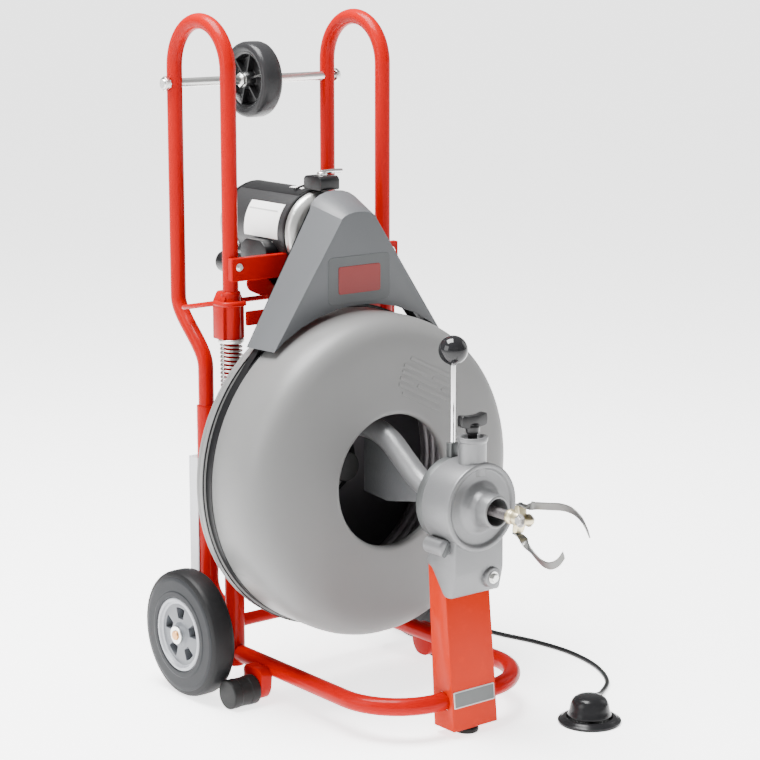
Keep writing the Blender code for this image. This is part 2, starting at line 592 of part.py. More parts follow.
def load_wheel():
    at = (0, HANDLE_REAR_Y, LOAD_Z)
    axis = pivot("load_wheel_axis", at)
    w, r = LOAD_HALF_W, LOAD_R
    shoulder = [(0.0463, w - 0.002), (r - 0.008, w), (r - 0.002, w - 0.004), (r, w - 0.010)]
    tyre = turned("tyre", shoulder + [(a, -h) for a, h in reversed(shoulder)], "X", at, MEDIUM)
    place(tyre, "load_wheel_tyre", "rubber", axis)
    face = [(0.0083, w), (0.013, w), (0.015, 0.009), (0.040, 0.006), (0.042, w - 0.003), (0.046, w - 0.003)]
    hub = turned("hub", face + [(a, -h) for a, h in reversed(face)], "X", at, MEDIUM)
    place(hub, "load_wheel_hub", "black_plastic", axis)


def release_bail():
    hinge_y, hinge_z, arm_x = MAST_Y, 0.640, HALF_TRACK + SLEEVE_HALF + 0.0065
    bar_y, bar_z, corner = 0.334, 0.6185, 0.020
    half = [(HALF_TRACK + SLEEVE_HALF + GAP, hinge_y, hinge_z), (arm_x, hinge_y, hinge_z),
            (arm_x, bar_y - corner, bar_z + 0.004), (arm_x - 0.006, bar_y - 0.006, bar_z + 0.001),
            (arm_x - corner, bar_y, bar_z)]
    path = [(-x, y, z) for x, y, z in half] + half[::-1]
    axis = pivot("bail_axis", (0, hinge_y, hinge_z))
    place(rod("release_bail", path, 0.0042, 10), "release_bail", "red_paint", axis)


# ---------------------------------------------------------------- motor, belt and guard
def motor(carriage):
    at = (0, 0, MOTOR_Z)
    front, rear = MOTOR_FRONT_Y, MOTOR_REAR_Y
    shell_front, shell_rear = 0.202, 0.372
    bell = [(0.0088, shell_front - GAP), (MOTOR_R, shell_front - GAP), (MOTOR_R, front + 0.010),
            (MOTOR_R - 0.008, front + 0.002), (0.030, front), (0.0088, front)]
    place(turned("bell", bell, "Y", at, FINE), "motor_front_bell", "aluminium", carriage)
    place(cylinder("shell", MOTOR_R, shell_front, shell_rear, "Y", at, FINE), "motor_shell", "motor_shell", carriage)
    tail = [(0, rear), (0.030, rear), (MOTOR_R - 0.010, rear - 0.004), (MOTOR_R, rear - 0.014),
            (MOTOR_R, shell_rear + GAP), (0, shell_rear + GAP)]
    place(turned("tail", tail, "Y", at, FINE), "motor_rear_bell", "aluminium", carriage)

    cover = [(-0.036, 0.0), (-0.036, 0.020), (0.0, 0.034), (0.036, 0.020), (0.036, 0.0)]
    box = plate("terminal_cover", cover, 0.034, (0, -1, 0), (0, 0, 1), (-0.069, 0.262, 0.7125))
    cut(box, cylinder("shell_room", MOTOR_R + GAP, 0.1, 0.4, "Y", at, FINE))
    place(box, "terminal_cover", "black_plastic", carriage)

    can = turned("air_switch", [(0, 0.398), (0.0045, 0.398), (0.007, 0.376), (0.017, 0.376), (0.017, 0.300),
                                (0, 0.300)], "Y", (0.066, 0, 0.680), COARSE)
    place(can, "air_switch", "black_plastic", carriage)

    width, edge_z = HALF_TRACK + 0.014, TRAY_TOP_Z - TRAY_H
    saddle = arc((0, MOTOR_Z), MOTOR_R + 0.028, 225, 315, 8)
    outline = [(-width, TRAY_TOP_Z), (-width, edge_z), *saddle, (width, edge_z), (width, TRAY_TOP_Z)]
    rear_face = MAST_Y - HANDLE_R - GAP
    tray = front_plate("motor_tray", outline, rear_face - 0.012, rear_face)
    cut(tray, cylinder("motor_room", MOTOR_R + GAP, 0.1, 0.4, "Y", at, FINE))
    place(tray, "motor_tray", "red_paint", carriage)

    switch = block("switch_box", (-0.020, 0.166, MOTOR_Z + MOTOR_R + 0.002), (0.020, 0.216, MOTOR_Z + MOTOR_R + 0.024),
                   0.002)
    place(switch, "switch_box", "black_plastic", carriage)
    top = MOTOR_Z + MOTOR_R + 0.024
    axis = pivot("switch_axis", (0, 0.190, top + 0.003))
    lever = rod("switch_lever", [(0, 0.190, top + 0.004), (0.012, 0.188, top + 0.0062), (0.036, 0.184, top + 0.0062)],
                0.0035, 10)
    place(lever, "switch_lever", "black_plastic", axis)


def belt_drive():
    at = (0, 0, MOTOR_Z)
    axis = pivot("pulley_axis", at)
    inner = PULLEY_R - BELT_THICK - 0.0012
    half = BELT_HALF_W + 0.001
    sheave = [(0, 0.1770), (0.0080, 0.1770), (0.0080, BELT_Y + half + 0.003), (PULLEY_R + 0.003, BELT_Y + half + 0.003),
              (PULLEY_R + 0.003, BELT_Y + half), (inner, BELT_Y + half - 0.0008), (inner, BELT_Y - half + 0.0008),
              (PULLEY_R + 0.003, BELT_Y - half), (PULLEY_R + 0.003, BELT_Y - half - 0.003), (0, BELT_Y - half - 0.003)]
    place(turned("drive_pulley", sheave, "Y", at, MEDIUM), "drive_pulley", "aluminium", axis)

    lift = math.degrees(math.asin((BELT_R - PULLEY_R) / (MOTOR_Z - DRUM_Z)))

    def loop(offset):
        over_pulley = arc((0, MOTOR_Z), PULLEY_R - offset, lift, 180 - lift, 8)
        under_drum = arc((0, DRUM_Z), BELT_R - offset, 180 - lift, 360 + lift, 40)
        return over_pulley + under_drum

    belt = front_plate("drive_belt", loop(0.0), BELT_Y - BELT_HALF_W, BELT_Y + BELT_HALF_W)
    cut(belt, front_plate("inside", loop(BELT_THICK), BELT_Y - 0.02, BELT_Y + 0.02))
    place(belt, "drive_belt", "rubber")


def guard_outline(foot_x, shoulder_x, shoulder_z, apex_z, foot_z=0.560):
    """The guard's triangle with a round apex, down to below the drum's edge."""
    slope = (shoulder_x - foot_x) / (shoulder_z - 0.579)
    low_x = foot_x + slope * (foot_z - 0.579)
    rise = apex_z - shoulder_z
    crown = [(shoulder_x * math.cos(math.radians(a)), shoulder_z + rise * math.sin(math.radians(a)))
             for a in range(18, 163, 18)]
    return [(-low_x, foot_z), (low_x, foot_z), (shoulder_x, shoulder_z), *crown, (-shoulder_x, shoulder_z)]


def loft(name, front, rear, front_y, rear_y):
    """A closed body between two outlines with the same number of points."""
    bm = bmesh.new()
    near = [bm.verts.new((x, front_y, z)) for x, z in front]
    far = [bm.verts.new((x, rear_y, z)) for x, z in rear]
    bm.faces.new(near)
    bm.faces.new(far[::-1])
    for i in range(len(near)):
        j = (i + 1) % len(near)
        bm.faces.new((near[j], near[i], far[i], far[j]))
    bmesh.ops.triangulate(bm, faces=bm.faces)
    bmesh.ops.recalc_face_normals(bm, faces=bm.faces)
    mesh = bpy.data.meshes.new(name)
    bm.to_mesh(mesh)
    bm.free()
    return link_new(name, mesh)


def belt_guard(carriage):
    wall, front_y, rear_y = GUARD_WALL, GUARD_FRONT_Y, GUARD_REAR_Y
    front = guard_outline(0.167, 0.036, 0.771, 0.785)
    rear = guard_outline(0.1745, 0.050, 0.785, 0.8135)
    front_in = guard_outline(0.167 - wall * 1.2, 0.036 - wall, 0.771 - wall, 0.785 - wall, 0.540)
    rear_in = guard_outline(0.1745 - wall * 1.2, 0.050 - wall, 0.785 - wall, 0.8135 - wall, 0.540)
    overrun = 0.02
    grow = overrun / (rear_y - front_y)
    rear_out = [(b[0] + (b[0] - a[0]) * grow, b[1] + (b[1] - a[1]) * grow) for a, b in zip(front_in, rear_in)]
    guard = loft("belt_guard", front, rear, front_y, rear_y)
    room = loft("room", front_in, rear_out, front_y + wall, rear_y + overrun)
    cut(guard, room, cylinder("drum_room", GUARD_ARC_R, 0.0, 0.3, "Y", (0, 0, DRUM_Z), DRUM_STEPS),
        block("foot_trim", (-0.3, 0.0, 0.40), (0.3, 0.3, 0.578)), solver="MANIFOLD")
    place(guard, "belt_guard", "guard_plastic", carriage)


# ---------------------------------------------------------------- foot switch and hose
def foot_switch():
    at = (PEDAL_X, PEDAL_Y, 0)
    rim = [(0, 0.003), (0.0362, 0.003), (0.0362, 0.009), (0.042, 0.009), (0.050, 0.005), (0.050, 0), (0, 0)]
    base = turned("pedal_base", rim, at=at)
    neck = as_mesh(rod("neck", [(PEDAL_X + 0.030, PEDAL_Y + 0.026, 0.0075), (PEDAL_X + 0.037, PEDAL_Y + 0.032, 0.014),
                                (PEDAL_X + 0.048, PEDAL_Y + 0.0416, 0.014)], 0.0065, 10))
    cut(neck, cylinder("dome_room", 0.0362, 0.003, 0.05, at=at))
    join(base, neck)
    place(base, "pedal_base", "rubber")
    axis = pivot("dome_axis", at)
    dome = [(0, 0.044), (0.016, 0.043), (0.026, 0.038), (0.032, 0.026), (0.0345, 0.0125), (0, 0.0125)]
    place(turned("pedal_dome", dome, at=at, steps=MEDIUM), "pedal_dome", "rubber", axis)


def hose():
    """The air hose: down from the switch, a coil of the spare length, and along the floor."""
    lie = HOSE_R + 0.0002
    outer = COIL_MID_R + 2 * HOSE_R
    drop = [(0.066, 0.3988, 0.680), (0.066, 0.412, 0.680), (0.069, 0.430, 0.662), (0.074, 0.438, 0.620),
            (0.084, 0.441, 0.500), (0.098, 0.443, 0.360), (0.118, 0.446, 0.220), (0.145, 0.452, 0.100),
            (0.176, 0.460, 0.034), (0.212, 0.468, 0.008), (COIL_X - 0.028, COIL_Y + outer + 0.001, lie),
            (COIL_X - 0.004, COIL_Y + outer + 0.0048, lie)]
    place(rod("hose_drop", smooth_path(drop, 0.020), HOSE_R, 8), "hose_drop", "rubber")
    coil = ring("hose_coil", outer, COIL_MID_R - 2 * HOSE_R, 0.0002, 0.0162, at=(COIL_X, COIL_Y, 0))
    place(coil, "hose_coil", "rubber")
    run = [(COIL_X + outer + 0.0048, COIL_Y - 0.004, lie), (COIL_X + outer + 0.004, COIL_Y - 0.050, lie),
           (0.330, 0.300, lie), (0.338, 0.220, lie), (0.352, 0.140, lie), (0.371, 0.070, lie),
           (0.378, -0.010, lie), (0.362, -0.090, lie), (0.325, -0.155, lie), (0.277, -0.192, 0.0055),
           (0.252, -0.2065, 0.0105), (PEDAL_X + 0.0600, PEDAL_Y + 0.0521, 0.014),
           (PEDAL_X + 0.0484, PEDAL_Y + 0.0420, 0.014)]
    place(rod("hose_run", smooth_path(run, 0.020), HOSE_R, 8), "hose_run", "rubber")


# ---------------------------------------------------------------- the machine
base_loop()
uprights()
axle()
drum_support()
front_leg()
road_wheels()
DRUM_AXIS = pivot("drum_axis", (0, 0, DRUM_Z))
drum_shells(DRUM_AXIS)
cable_parts(DRUM_AXIS)
cutter_blades(DRUM_AXIS)
feed()
CARRIAGE = pivot("carriage", (0, MAST_Y, SLEEVE_BOTTOM_Z))
handles(CARRIAGE)
load_wheel()
release_bail()
motor(CARRIAGE)
belt_drive()
belt_guard(CARRIAGE)
foot_switch()
hose()
bpy.context.view_layer.update()
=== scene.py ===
"""Looks of the drain snake machine: its finishes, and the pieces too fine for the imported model."""
import json
import math

import bmesh
import bpy
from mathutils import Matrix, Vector


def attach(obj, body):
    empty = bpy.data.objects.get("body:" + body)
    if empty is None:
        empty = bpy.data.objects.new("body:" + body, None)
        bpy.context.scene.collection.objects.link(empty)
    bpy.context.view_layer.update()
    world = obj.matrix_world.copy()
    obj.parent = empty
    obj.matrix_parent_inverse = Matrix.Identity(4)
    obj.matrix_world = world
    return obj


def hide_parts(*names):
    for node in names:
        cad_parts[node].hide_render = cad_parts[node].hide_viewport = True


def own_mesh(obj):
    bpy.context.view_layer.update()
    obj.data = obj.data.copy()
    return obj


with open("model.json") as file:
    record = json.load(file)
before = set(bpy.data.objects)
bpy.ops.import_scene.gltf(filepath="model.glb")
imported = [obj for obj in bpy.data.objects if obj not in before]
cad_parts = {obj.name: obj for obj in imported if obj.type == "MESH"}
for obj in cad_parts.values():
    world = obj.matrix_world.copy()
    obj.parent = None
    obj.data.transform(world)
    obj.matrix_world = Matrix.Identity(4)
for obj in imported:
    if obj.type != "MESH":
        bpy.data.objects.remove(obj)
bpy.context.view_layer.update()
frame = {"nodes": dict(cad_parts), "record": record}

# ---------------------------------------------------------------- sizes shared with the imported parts
TRACK = 0.155                # frame tubes to the middle
DRUM_Z, OPENING_R = 0.364, 0.107
DRUM_FRONT_Y, DRUM_SEAM_Y, DRUM_REAR_Y = 0.0047, 0.162, 0.192
BELT_Y, BELT_HALF_W, BELT_THICK, BELT_R, PULLEY_R = 0.142, 0.0062, 0.008, 0.262, 0.029
MOTOR_Z, MOTOR_R = 0.742, 0.068
MAST_Y, REAR_Y, MAST_R = 0.228, 0.302, 0.016
HANDLE_R, HANDLE_TOP_Z, HANDLE_BEND_R = 0.0127, 1.08, 0.0755
HANDLE_REAR_Y = MAST_Y + 2 * HANDLE_BEND_R
BASE_R, BASE_Z, BASE_FRONT_Y, BASE_BEND_R = 0.014, 0.056, -0.172, 0.104
AXLE_Y, AXLE_Z = 0.2344, 0.104
WHEEL_R, WHEEL_OUT_X, WHEEL_W, RIM_R = 0.1037, 0.2634, 0.047, 0.06
FEED_FRONT_Y, FEED_REAR_Y = -0.2086, -0.146
BOSS_Y, BOSS_TOP_Z = -0.184, 0.471
LOAD_Z, LOAD_R, LOAD_HALF_W = 0.978, 0.063, 0.02
HOSE_R = 0.004
PEDAL = Vector((0.176, -0.268, 0.0))
COIL = Vector((0.27, 0.425, 0.0))
BLADE_OUT = Vector((math.cos(math.radians(83)), 0, math.sin(math.radians(83))))
SIDES = ((-1, "left"), (1, "right"))
LEVER_Y, LEVER_BALL_R, LEVER_BALL_Z = -0.138, 0.0226, 0.5966
AIR_SWITCH_X, AIR_SWITCH_Z = 0.066, 0.68
START_CAN = (-0.066, 0, 0.68)
SPRING_BASE_Z, SPRING_SEAT_Z, SPRING_TURNS, SPRING_SHARE = 0.4802, 0.4783, 14.5, 0.98
TRAY_FRONT_Y, TRAY_BACK_Y = 0.219, 0.223
CABLE_WIRE_R, CABLE_PITCH = 0.0078, 0.0162
DRUM_STEPS, WHEEL_STEPS = 180, 96
MOTOR_VENTS, WHEEL_HOLES, SMALL_WHEEL_RIBS = 10, 5, 6

CAMERA_AT, CAMERA_AIM = (-2.149, -2.653, 1.223), (0, 0.04, 0.522)
LENS_MM, SENSOR_MM = 105.05, 36
WORLD_LIGHT, FLOOR_GLOW, FLOOR_HALF = 0.45, 2.5, 90


# ---------------------------------------------------------------- camera, floor and light
def look_at(obj, target):
    obj.rotation_euler = (Vector(target) - obj.location).to_track_quat("-Z", "Y").to_euler()


camera = bpy.data.objects.new("camera", bpy.data.cameras.new("camera"))
bpy.context.scene.collection.objects.link(camera)
camera.location = CAMERA_AT
camera.data.lens = LENS_MM
camera.data.sensor_width = SENSOR_MM
look_at(camera, CAMERA_AIM)
bpy.context.scene.camera = camera


def lamp(name, at, target, size, power):
    light = bpy.data.objects.new(name, bpy.data.lights.new(name, "AREA"))
    light.data.size = size
    light.data.energy = power
    light.location = at
    bpy.context.scene.collection.objects.link(light)
    look_at(light, target)


lamp("overhead", (-0.6, 0.5, 3.2), (0, 0, 0.4), 1.8, 430)
lamp("left_window", (-3.2, 0.4, 1.7), (0, 0, 0.5), 2.0, 80)
lamp("front_fill", (-1.2, -3.6, 1.6), (0, 0, 0.4), 2.4, 4)
lamp("right_edge", (2.8, -0.6, 1.6), (0, 0, 0.5), 1.6, 16)

world = bpy.data.worlds.new("studio")
world.use_nodes = True
world.node_tree.nodes["Background"].inputs["Color"].default_value = (1, 1, 1, 1)
world.node_tree.nodes["Background"].inputs["Strength"].default_value = WORLD_LIGHT
bpy.context.scene.world = world


# ---------------------------------------------------------------- wiring of nodes
class Signal:
    """A socket's value in a node tree. Arithmetic on it adds Math nodes."""

    def __init__(self, wiring, socket):
        self.wiring, self.socket = wiring, socket

    def worked(self, operation, first, second):
        return self.wiring.node(self.wiring.MATH, {"operation": operation}, {0: first, 1: second})

    def __add__(self, other):
        return self.worked("ADD", self, other)

    __radd__ = __add__

    def __mul__(self, other):
        return self.worked("MULTIPLY", self, other)

    __rmul__ = __mul__

    def __sub__(self, other):
        return self.worked("SUBTRACT", self, other)

    def __rsub__(self, other):
        return self.worked("SUBTRACT", other, self)

    def __truediv__(self, other):
        return self.worked("DIVIDE", self, other)


class Wiring:
    """A node tree under construction."""

    MATH = "ShaderNodeMath"

    def __init__(self, tree):
        self.nodes, self.links = tree.nodes, tree.links

    def node(self, kind, settings=(), sockets=(), out=0):
        """Adds one node: its settings first, then a value or a signal on each named socket."""
        made = self.nodes.new(kind)
        for word, value in dict(settings).items():
            if word == "stops":
                ramp = made.color_ramp
                while len(ramp.elements) < len(value):
                    ramp.elements.new(0.5)
                for element, (place, shade) in zip(ramp.elements, value):
                    element.position = place
                    element.color = shade
            else:
                setattr(made, word, value)
        for word, value in dict(sockets).items():
            if isinstance(value, Signal):
                self.links.new(value.socket, made.inputs[word])
            else:
                made.inputs[word].default_value = value
        return Signal(self, made.outputs[out])


class Finish(Wiring):
    """A material: a Principled shader with constants on its own sockets, and signals for what varies."""

    def __init__(self, name, **constants):
        self.material = bpy.data.materials.new(name)
        self.material.use_nodes = True
        super().__init__(self.material.node_tree)
        self.shader = self.nodes["Principled BSDF"]
        for word, value in constants.items():
            self.shader.inputs[word.replace("_", " ").title().replace("Ior", "IOR")].default_value = value
        self.place = self.node("ShaderNodeTexCoord", out="Object")

    def noise(self, scale, detail=2.0, stretch=None):
        vector = self.place
        if stretch:
            vector = self.node("ShaderNodeMapping", sockets={"Vector": vector, "Scale": stretch})
        return self.node("ShaderNodeTexNoise", {"noise_dimensions": "3D"},
            {"Vector": vector, "Scale": scale, "Detail": detail})

    def blend(self, first, second, share):
        return self.node("ShaderNodeMix", {"data_type": "RGBA"}, {0: share, 6: first, 7: second}, out=2)

    def ramp(self, value, low, high):
        """A value rising from 0 to 1 between two levels."""
        stops = [(low, (0, 0, 0, 1)), (high, (1, 1, 1, 1))]
        return self.node("ShaderNodeValToRGB", {"stops": stops}, {"Fac": value})

    def drive(self, colour, roughness, height, depth, strength=0.5):
        self.links.new(colour.socket, self.shader.inputs["Base Color"])
        if isinstance(roughness, Signal):
            self.links.new(roughness.socket, self.shader.inputs["Roughness"])
        else:
            self.shader.inputs["Roughness"].default_value = roughness
        bump = self.node("ShaderNodeBump", sockets={"Height": height, "Distance": depth,
            "Strength": strength})
        self.links.new(bump.socket, self.shader.inputs["Normal"])
        return self.material


def shade(colour, factor):
    return tuple(min(channel * factor, 1.0) for channel in colour) + (1.0,)


def enamel(name, colour):
    """Glossy paint: a slight orange peel, and the colour a little deeper in places."""
    paint = Finish(name, coat_weight=0.05, coat_roughness=0.05, specular_ior_level=0.06)
    broad, peel, scuff = paint.noise(6, 2), paint.noise(380, 1), paint.noise(70, 4)
    tone = paint.blend(shade(colour, 0.86), shade(colour, 1.08), broad)
    worn = paint.ramp(scuff, 0.6, 0.74)
    tone = paint.blend(tone, shade(colour, 1.35), worn * 0.25)
    return paint.drive(tone, 0.27 + worn * 0.14 + peel * 0.05, peel, 0.0005, 0.22)


def moulded(name, colour, rough, grain=900, wear=0.3):
    """Satin moulded plastic with a fine grain and faint rub marks."""
    plastic = Finish(name, specular_ior_level=0.32)
    broad, fine, rub = plastic.noise(5, 3), plastic.noise(grain, 1), plastic.noise(26, 5, (1, 1, 4))
    tone = plastic.blend(shade(colour, 0.92), shade(colour, 1.05), broad)
    marks = plastic.ramp(rub, 0.56, 0.78)
    tone = plastic.blend(tone, shade(colour, 1.22), marks * wear)
    return plastic.drive(tone, rough + marks * 0.1 - fine * 0.06, fine, 0.0004, 0.25)


def cast(name, colour, metallic, rough=0.4):
    """Painted or bare casting with the sand's fine unevenness."""
    metal = Finish(name, metallic=metallic)
    broad, grain, pits = metal.noise(9, 3), metal.noise(260, 3), metal.noise(900, 1)
    tone = metal.blend(shade(colour, 0.88), shade(colour, 1.08), broad)
    tone = metal.blend(tone, shade(colour, 0.72), metal.ramp(pits, 0.64, 0.8) * 0.5)
    return metal.drive(tone, rough + grain * 0.12, grain + pits * 0.4, 0.0008, 0.35)


def bright(name, colour, rough, stretch=(1, 1, 12), metallic=1.0):
    """Plated or machined metal with fine lines along its length."""
    metal = Finish(name, metallic=metallic)
    broad, lines = metal.noise(30, 3), metal.noise(500, 2, stretch)
    tone = metal.blend(shade(colour, 0.8), shade(colour, 1.06), broad)
    return metal.drive(tone, rough + lines * 0.16, lines, 0.0003, 0.15)


def rubbery(name, colour, rough, dust=0.3):
    """Black rubber, a little dusty and dull where it has been handled."""
    rubber = Finish(name, specular_ior_level=0.14)
    broad, fine, smear = rubber.noise(14, 4), rubber.noise(700, 2), rubber.noise(60, 5)
    tone = rubber.blend(shade(colour, 0.85), shade(colour, 1.5), rubber.ramp(broad, 0.45, 0.8) * dust)
    tone = rubber.blend(tone, (0.05, 0.048, 0.046, 1), rubber.ramp(smear, 0.6, 0.85) * dust * 0.5)
    return rubber.drive(tone, rough - fine * 0.1, fine, 0.0004, 0.3)


RED = enamel("red_enamel", (0.3, 0.001, 0.0003))
ORANGE = enamel("orange_enamel", (0.4, 0.014, 0.0001))
DRUM = moulded("drum_plastic", (0.128, 0.128, 0.126), 0.46, 700, 0.1)
GUARD = moulded("guard_plastic", (0.066, 0.069, 0.073), 0.46, 500, 0.12)
PANEL = moulded("guard_panel", (0.056, 0.059, 0.061), 0.52, 500, 0.1)
PLATE_RED = moulded("plate_red", (0.15, 0.008, 0.007), 0.4, 400, 0.2)
GUSSET = cast("dark_casting", (0.07, 0.072, 0.075), 0.35, 0.42)
CASTING = cast("grey_casting", (0.15, 0.152, 0.155), 0.45, 0.33)
BELL = cast("bare_casting", (0.5, 0.5, 0.485), 0.85, 0.28)
ZINC = bright("bright_zinc", (0.74, 0.74, 0.72), 0.22)
CHROME = bright("bright_rod", (0.8, 0.8, 0.8), 0.12)
SPRING_WIRE = bright("spring_wire", (0.4, 0.39, 0.38), 0.28)
BLADE = bright("blade_steel", (0.13, 0.13, 0.125), 0.24, (1, 8, 1))
LINING = moulded("drum_inside", (0.085, 0.08, 0.086), 0.5, 300, 0.1)
COILED = bright("coiled_cable", (0.3, 0.28, 0.29), 0.4, metallic=0.5)
CABLE = bright("cable_steel", (0.12, 0.11, 0.112), 0.36, metallic=0.6)
OILED = bright("oiled_steel", (0.1, 0.105, 0.105), 0.36, metallic=0.7)
BRASS = bright("pale_brass", (0.66, 0.58, 0.38), 0.3)
COPPER = bright("axle_end", (0.62, 0.33, 0.14), 0.38)
SHELL = cast("motor_enamel", (0.028, 0.028, 0.029), 0.25, 0.26)
BLACK = moulded("black_plastic", (0.005, 0.005, 0.0055), 0.32, 400, 0.04)
GLOSS_BLACK = moulded("black_ball", (0.01, 0.01, 0.011), 0.07, 200, 0.05)
TYRE = rubbery("tyre_rubber", (0.0075, 0.0075, 0.008), 0.55, 0.12)
SIDEWALL = rubbery("tyre_sidewall", (0.016, 0.017, 0.019), 0.55, 0.15)
GLOSS_TYRE = rubbery("small_tyre_rubber", (0.02, 0.02, 0.021), 0.3, 0.15)
RUBBER = rubbery("foot_rubber", (0.012, 0.012, 0.012), 0.5, 0.25)
PEDAL_RUBBER = rubbery("pedal_rubber", (0.014, 0.014, 0.015), 0.24, 0.15)
BELT = rubbery("belt_rubber", (0.006, 0.006, 0.0065), 0.5, 0.08)
HOSE = rubbery("hose_rubber", (0.012, 0.012, 0.012), 0.36, 0.1)
RIM = moulded("rim_plastic", (0.12, 0.127, 0.138), 0.36, 600, 0.15)
BRIGHT_RIM = moulded("rim_edge", (0.3, 0.31, 0.33), 0.3, 600, 0.15)
WHITE = moulded("white_strip", (0.5, 0.5, 0.52), 0.4, 500, 0.1)
LABEL = moulded("label_paper", (0.8, 0.8, 0.79), 0.34, 300, 0.1)
GREY_INK = moulded("label_grey", (0.42, 0.42, 0.42), 0.4, 300, 0.1)


# ---------------------------------------------------------------- mesh helpers
def link(name, mesh):
    obj = bpy.data.objects.new(name, mesh)
    bpy.context.scene.collection.objects.link(obj)
    return obj


def plain(obj):
    """The object's mesh with its modifiers applied, at the origin."""
    bpy.context.view_layer.update()
    mesh = bpy.data.meshes.new_from_object(obj.evaluated_get(bpy.context.evaluated_depsgraph_get()))
    mesh.transform(obj.matrix_world)
    name = obj.name
    bpy.data.objects.remove(obj)
    return link(name, mesh)


def solid(name, bm, recalculate=True):
    """An object from a bmesh, welded, with its faces turned outwards."""
    bmesh.ops.remove_doubles(bm, verts=bm.verts, dist=0.000005)
    if recalculate:
        bmesh.ops.recalc_face_normals(bm, faces=bm.faces)
    mesh = bpy.data.meshes.new(name)
    bm.to_mesh(mesh)
    bm.free()
    return link(name, mesh)


def eased(points, radius, closed=True, cuts=3):
    """An outline with its corners rounded."""
    out = []
    last = len(points) - 1
    for i, corner in enumerate(points):
        here = Vector(corner)
        if not closed and i in (0, last):
            out.append(here)
            continue
        before, after = Vector(points[i - 1]), Vector(points[(i + 1) % len(points)])
        reach = min(radius, (before - here).length * 0.45, (after - here).length * 0.45)
        start, end = here + (before - here).normalized() * reach, here + (after - here).normalized() * reach
        for j in range(cuts + 1):
            t = j / cuts
            out.append(start * (1 - t) ** 2 + here * 2 * t * (1 - t) + end * t ** 2)
    return [tuple(point) for point in out]


TURNS = {"Z": lambda r, h, c, s: (r * c, r * s, h), "Y": lambda r, h, c, s: (r * c, h, r * s),
    "X": lambda r, h, c, s: (h, r * c, r * s), }


def turned(profile, axis="Y", at=(0, 0, 0), steps=64, into=None):
    """A bmesh of (radius, height) points turned about an axis, closed up if it starts off the axis."""
    bm = into or bmesh.new()
    loop = profile[0][0] > 1e-6
    rings = []
    for radius, height in profile:
        if radius < 1e-6:
            rings.append([bm.verts.new(Vector(at) + Vector(TURNS[axis](0, height, 1, 0)))] * steps)
            continue
        angles = [math.tau * k / steps for k in range(steps)]
        rings.append([bm.verts.new(Vector(at) + Vector(TURNS[axis](radius, height, math.cos(a),
            math.sin(a)))) for a in angles])
    for first, second in zip(rings, rings[1:] + (rings[:1] if loop else [])):
        for k in range(steps):
            corners = [first[k], first[(k + 1) % steps], second[(k + 1) % steps], second[k]]
            corners = [v for i, v in enumerate(corners) if v not in corners[:i]]
            if len(corners) > 2:
                bm.faces.new(corners)
    return bm


def mirrored(points):
    """A profile followed by its mirror image below height 0."""
    return points + [(radius, -height) for radius, height in reversed(points)]


def oblong(left, low, right, high):
    return [(left, low), (right, low), (right, high), (left, high)]


def prism(outline, low, high, across=(1, 0, 0), up=(0, 0, 1), at=(0, 0, 0), into=None):
    """A bmesh plate: an outline in a plane, thick from low to high along the plane's normal."""
    bm = into or bmesh.new()
    across, up = Vector(across).normalized(), Vector(up).normalized()
    normal = across.cross(up)
    near = [bm.verts.new(Vector(at) + across * u + up * v + normal * low) for u, v in outline]
    far = [bm.verts.new(Vector(at) + across * u + up * v + normal * high) for u, v in outline]
    bm.faces.new(near)
    bm.faces.new(far[::-1])
    for i in range(len(near)):
        j = (i + 1) % len(near)
        bm.faces.new((near[i], far[i], far[j], near[j]))
    return bm


def side_prism(outline, low_x, high_x, into=None):
    return prism(outline, low_x, high_x, (0, 1, 0), (0, 0, 1), into=into)


def front_prism(outline, low_y, high_y):
    return prism(outline, -high_y, -low_y)


def brick(low, high):
    (x0, y0, z0), (x1, y1, z1) = low, high
    return prism(oblong(x0, y0, x1, y1), z0, z1, up=(0, 1, 0))


def bevelled(obj, width, segments=2, angle=30):
    edge = obj.modifiers.new("edges", "BEVEL")
    edge.width = width
    edge.segments = segments
    edge.limit_method = "ANGLE"
    edge.angle_limit = math.radians(angle)
    return plain(obj)


def arc(centre, radius, start, end, count):
    angles = [math.radians(start + (end - start) * i / count) for i in range(count + 1)]
    return [(centre[0] + radius * math.cos(a), centre[1] + radius * math.sin(a)) for a in angles]


def finish(obj, name, material, body, *nodes, crease=35, slot=None):
    """Names a piece, smooths it between its creases, gives it a finish and joins it to its body."""
    obj.name = obj.data.name = name
    obj.data.materials.clear()
    obj.data.materials.append(material)
    obj.data.shade_smooth()
    obj.data.set_sharp_from_angle(angle=math.radians(crease))
    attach(obj, body)
    if nodes:
        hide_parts(*nodes)
    return obj


def spun(name, profile, axis, at, steps, material, body, *nodes, **more):
    """A piece turned about an axis from a profile."""
    return finish(solid(name, turned(profile, axis, at, steps)), name, material, body, *nodes, **more)


def cut(name, bm, width, material, body, *nodes, segments=2, **more):
    """A piece from a bmesh, with its edges bevelled."""
    return finish(bevelled(solid(name, bm), width, segments), name, material, body, *nodes, **more)


def body_of(node):
    return next(name for name, members in frame["record"]["behaviour"]["bodies"].items() if node in members)


def refined(node, material, crease=35, bevel=0.0, segments=2):
    """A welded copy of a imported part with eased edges, in the part's place."""
    bm = bmesh.new()
    bm.from_mesh(frame["nodes"][node].data)
    bmesh.ops.remove_doubles(bm, verts=bm.verts, dist=0.00001)
    if bevel:
        bmesh.ops.dissolve_limit(bm, angle_limit=math.radians(0.6), verts=bm.verts, edges=bm.edges)
    obj = solid(node + "_fine", bm, recalculate=False)
    if bevel:
        obj = bevelled(obj, bevel, segments, crease)
    return finish(obj, node + "_fine", material, body_of(node), node, crease=crease)


